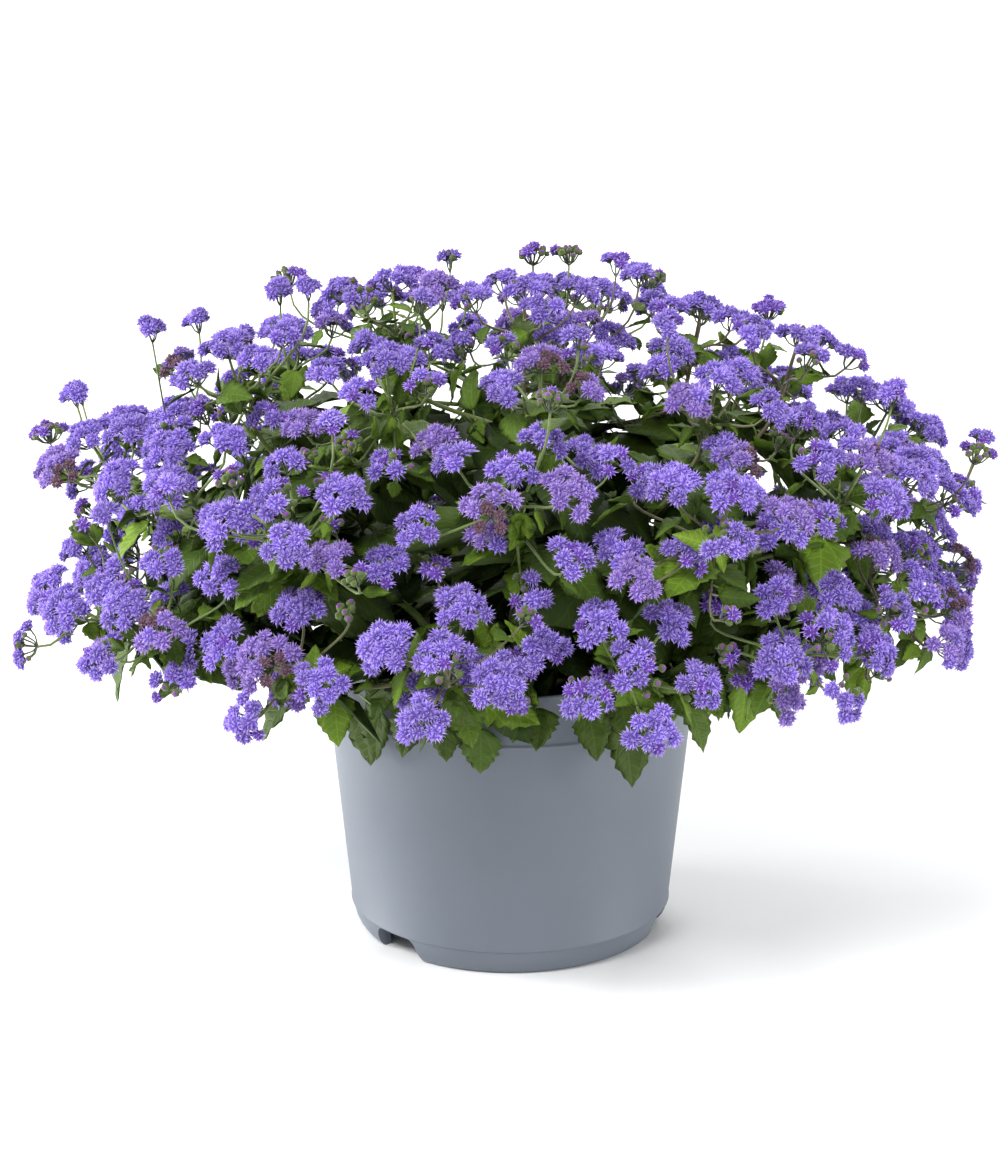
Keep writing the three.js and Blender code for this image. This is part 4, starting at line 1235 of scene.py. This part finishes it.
def pair_leaves(lines, draw):
    parts = []
    for points in [line["points"] for line in lines]:
        run = np.concatenate([[0], np.cumsum(np.linalg.norm(np.diff(points, axis=0), axis=1))])
        quarter = draw.uniform(0, 3.14)
        start = MAIN_START if len(points) > SIDE_POINTS else SIDE_START
        for number, at in enumerate(np.arange(start, run[-1] - 2, PAIR_SPACING)):
            here, ahead = (np.array([np.interp(s, run, axis) for axis in points.T]) for s in (at, at + 2))
            along = unit(ahead - here)
            axes = axes_along(np.array([0.2, 0.9, 0.1]), along)
            for side in (0, math.pi):
                for _ in range(PAIR_TRIES if here[2] < PAIRS_THIN_FROM or number % 2 else 0):
                    angle = quarter + number * math.pi / 2 + side + draw.uniform(-0.5, 0.5)
                    out = axes @ [math.cos(angle), math.sin(angle), 0]
                    way = unit(out + along * draw.uniform(0.0, 0.9) + UP * draw.uniform(-0.2, 0.3))
                    upper = along + UP * 0.9 + draw.normal(size=3) * 0.15
                    size = draw.uniform(0.42, 0.88)
                    grown = leaf_if_room(draw, FREE_BLADES, ALL_BUT_DARK, way, upper, here, size)
                    parts += grown
                    if grown:
                        break
    return parts


# %% [markdown]
# Small leaves stand on the thin rays under the clusters too. They fill the shade between the heads,
# which would otherwise show bare stalks.


# %% Leaves on the rays
RAY_TRIES = 3


def ray_leaves(lines, draw):
    parts, shapes = [], SMALL_BLADES + FREE_BLADES[:3]
    for points in [points for line in lines for points, _ in line["rays"]]:
        for _ in range(RAY_TRIES):
            at = draw.uniform(0.3, len(points) - 2.2)
            k = int(at)
            step = points[k + 1] - points[k]
            here, along = points[k] + step * (at - k), unit(step)
            way = unit(unit(np.cross(along, draw.normal(size=3))) + along * draw.uniform(0, 0.8))
            upper = along + UP + draw.normal(size=3) * 0.2
            size = draw.uniform(0.3, 0.66)
            parts += leaf_if_room(draw, shapes, ALL_BUT_DARK, way, upper, here, size, 0.78)
    return parts


# %% [markdown]
# Deep inside, a full plant is dark and dense. Large plain leaves in the chart's columns of painted shade
# close the view between the stems, with far fewer triangles than fine leaves would need.


# %% Leaves deep inside
INNER_TRIES, INNER_REACH, INNER_TOP, INNER_LOWEST = 60, 0.78, 300, 168


def inner_leaves(lines, draw):
    parts = []
    for _ in range(INNER_TRIES):
        points = pick(draw, lines)["points"]
        foot = points[draw.integers(2, len(points))]
        way = unit(draw.normal(size=3) * [1, 1, 0.45])
        upper = UP + draw.normal(size=3) * 0.35
        size = draw.uniform(1.0, 1.5)
        tip = foot + way * FULL_LENGTH * size
        if math.hypot(*(tip[:2] / DOME_SIZE[:2])) < INNER_REACH and tip[2] < INNER_TOP:
            parts += leaf_if_room(draw, INNER_BLADES, PAINTED_SHADE_COLUMNS, way, upper, foot, size, 0.9, INNER_LOWEST)
    return parts


# %% [markdown]
# In front a few long leaves hang over the rim and break its line. Each is laid one by one: its azimuth,
# the distance and height of its foot, its size and how steeply it hangs. A stalk joins it to the
# nearest stem or ray, whichever shoot that belongs to.

# %% Leaves over the rim
RIM_LEAVES = [
    (-43, 121, 170, 1.0, 78), (-37, 122, 171, 0.8, 60), (-8, 120, 168, 0.82, 80), (31, 121, 170, 1.1, 55),
    (-66, 128, 172, 1.15, 35), (52, 126, 171, 0.9, 50), (8, 124, 180, 0.7, 40), (-96, 130, 172, 1.0, 45),
    (128, 124, 172, 1.0, 60), (168, 123, 171, 0.9, 70), (-140, 124, 172, 1.05, 55), (84, 126, 172, 0.95, 65),
    (-25, 122, 178, 0.85, 45), (-17, 121, 172, 0.7, 62), (20, 122, 176, 0.8, 50), (42, 123, 170, 0.75, 70),
    (2, 122, 190, 0.8, 48), (-52, 124, 180, 0.8, 50), (60, 124, 182, 0.85, 42), (-32, 126, 192, 0.75, 40),
    (26, 127, 194, 0.8, 38),
]
RIM_COLUMNS = (3, 4, 6)
limbs = [(n, points) for n, lines in enumerate(shoots) for line in lines for points, _ in line["rays"]]
limbs += [(n, line["points"]) for n, lines in enumerate(shoots) for line in lines]
limb_owner = np.concatenate([[n] * len(points) for n, points in limbs])
limb_points = np.vstack([points for _, points in limbs])


def hanging_leaves(number, draw):
    parts = []
    for azimuth, far, high, size, steep in RIM_LEAVES:
        base = heading(azimuth) * far + UP * high
        nearest = np.argmin(np.linalg.norm(limb_points - base - UP * 12, axis=1))
        if limb_owner[nearest] != number:
            continue
        steep = math.radians(steep)
        way = heading(azimuth + draw.uniform(-12, 12)) * math.cos(steep) - UP * math.sin(steep)
        turn = leaf_turn(way, heading(azimuth) + UP * 0.4)
        parts += leaf(draw, PACKED_BLADES, RIM_COLUMNS, turn, base, size, limb_points[nearest])
    return parts


# %% [markdown]
# All the leaves and stems of a shoot are joined into one mesh with two finishes, leaf and stem, because
# a shoot grew as one piece.

# %% Make the shoots
leaf_total, triangle_total = 0, 0
for number, lines in enumerate(shoots):
    name = f"leafy_shoot_{number + 1:02d}"
    draw = np.random.default_rng(900 + number)
    leaves = packed_again(name, lines, draw) + pair_leaves(lines, draw) + ray_leaves(lines, draw)
    leaves += inner_leaves(lines, draw) + hanging_leaves(number, draw)
    shape = joined(stems_of(lines, draw) + leaves)
    piece = make_piece(f"leaves_and_stems_{number + 1:02d}", shape, [leaf_skin, stem_skin], name)
    leaf_total += len(leaves) // 2
    triangle_total += len(piece.data.polygons)
print("leaves:", leaf_total, "| triangles in all the shoots:", triangle_total)
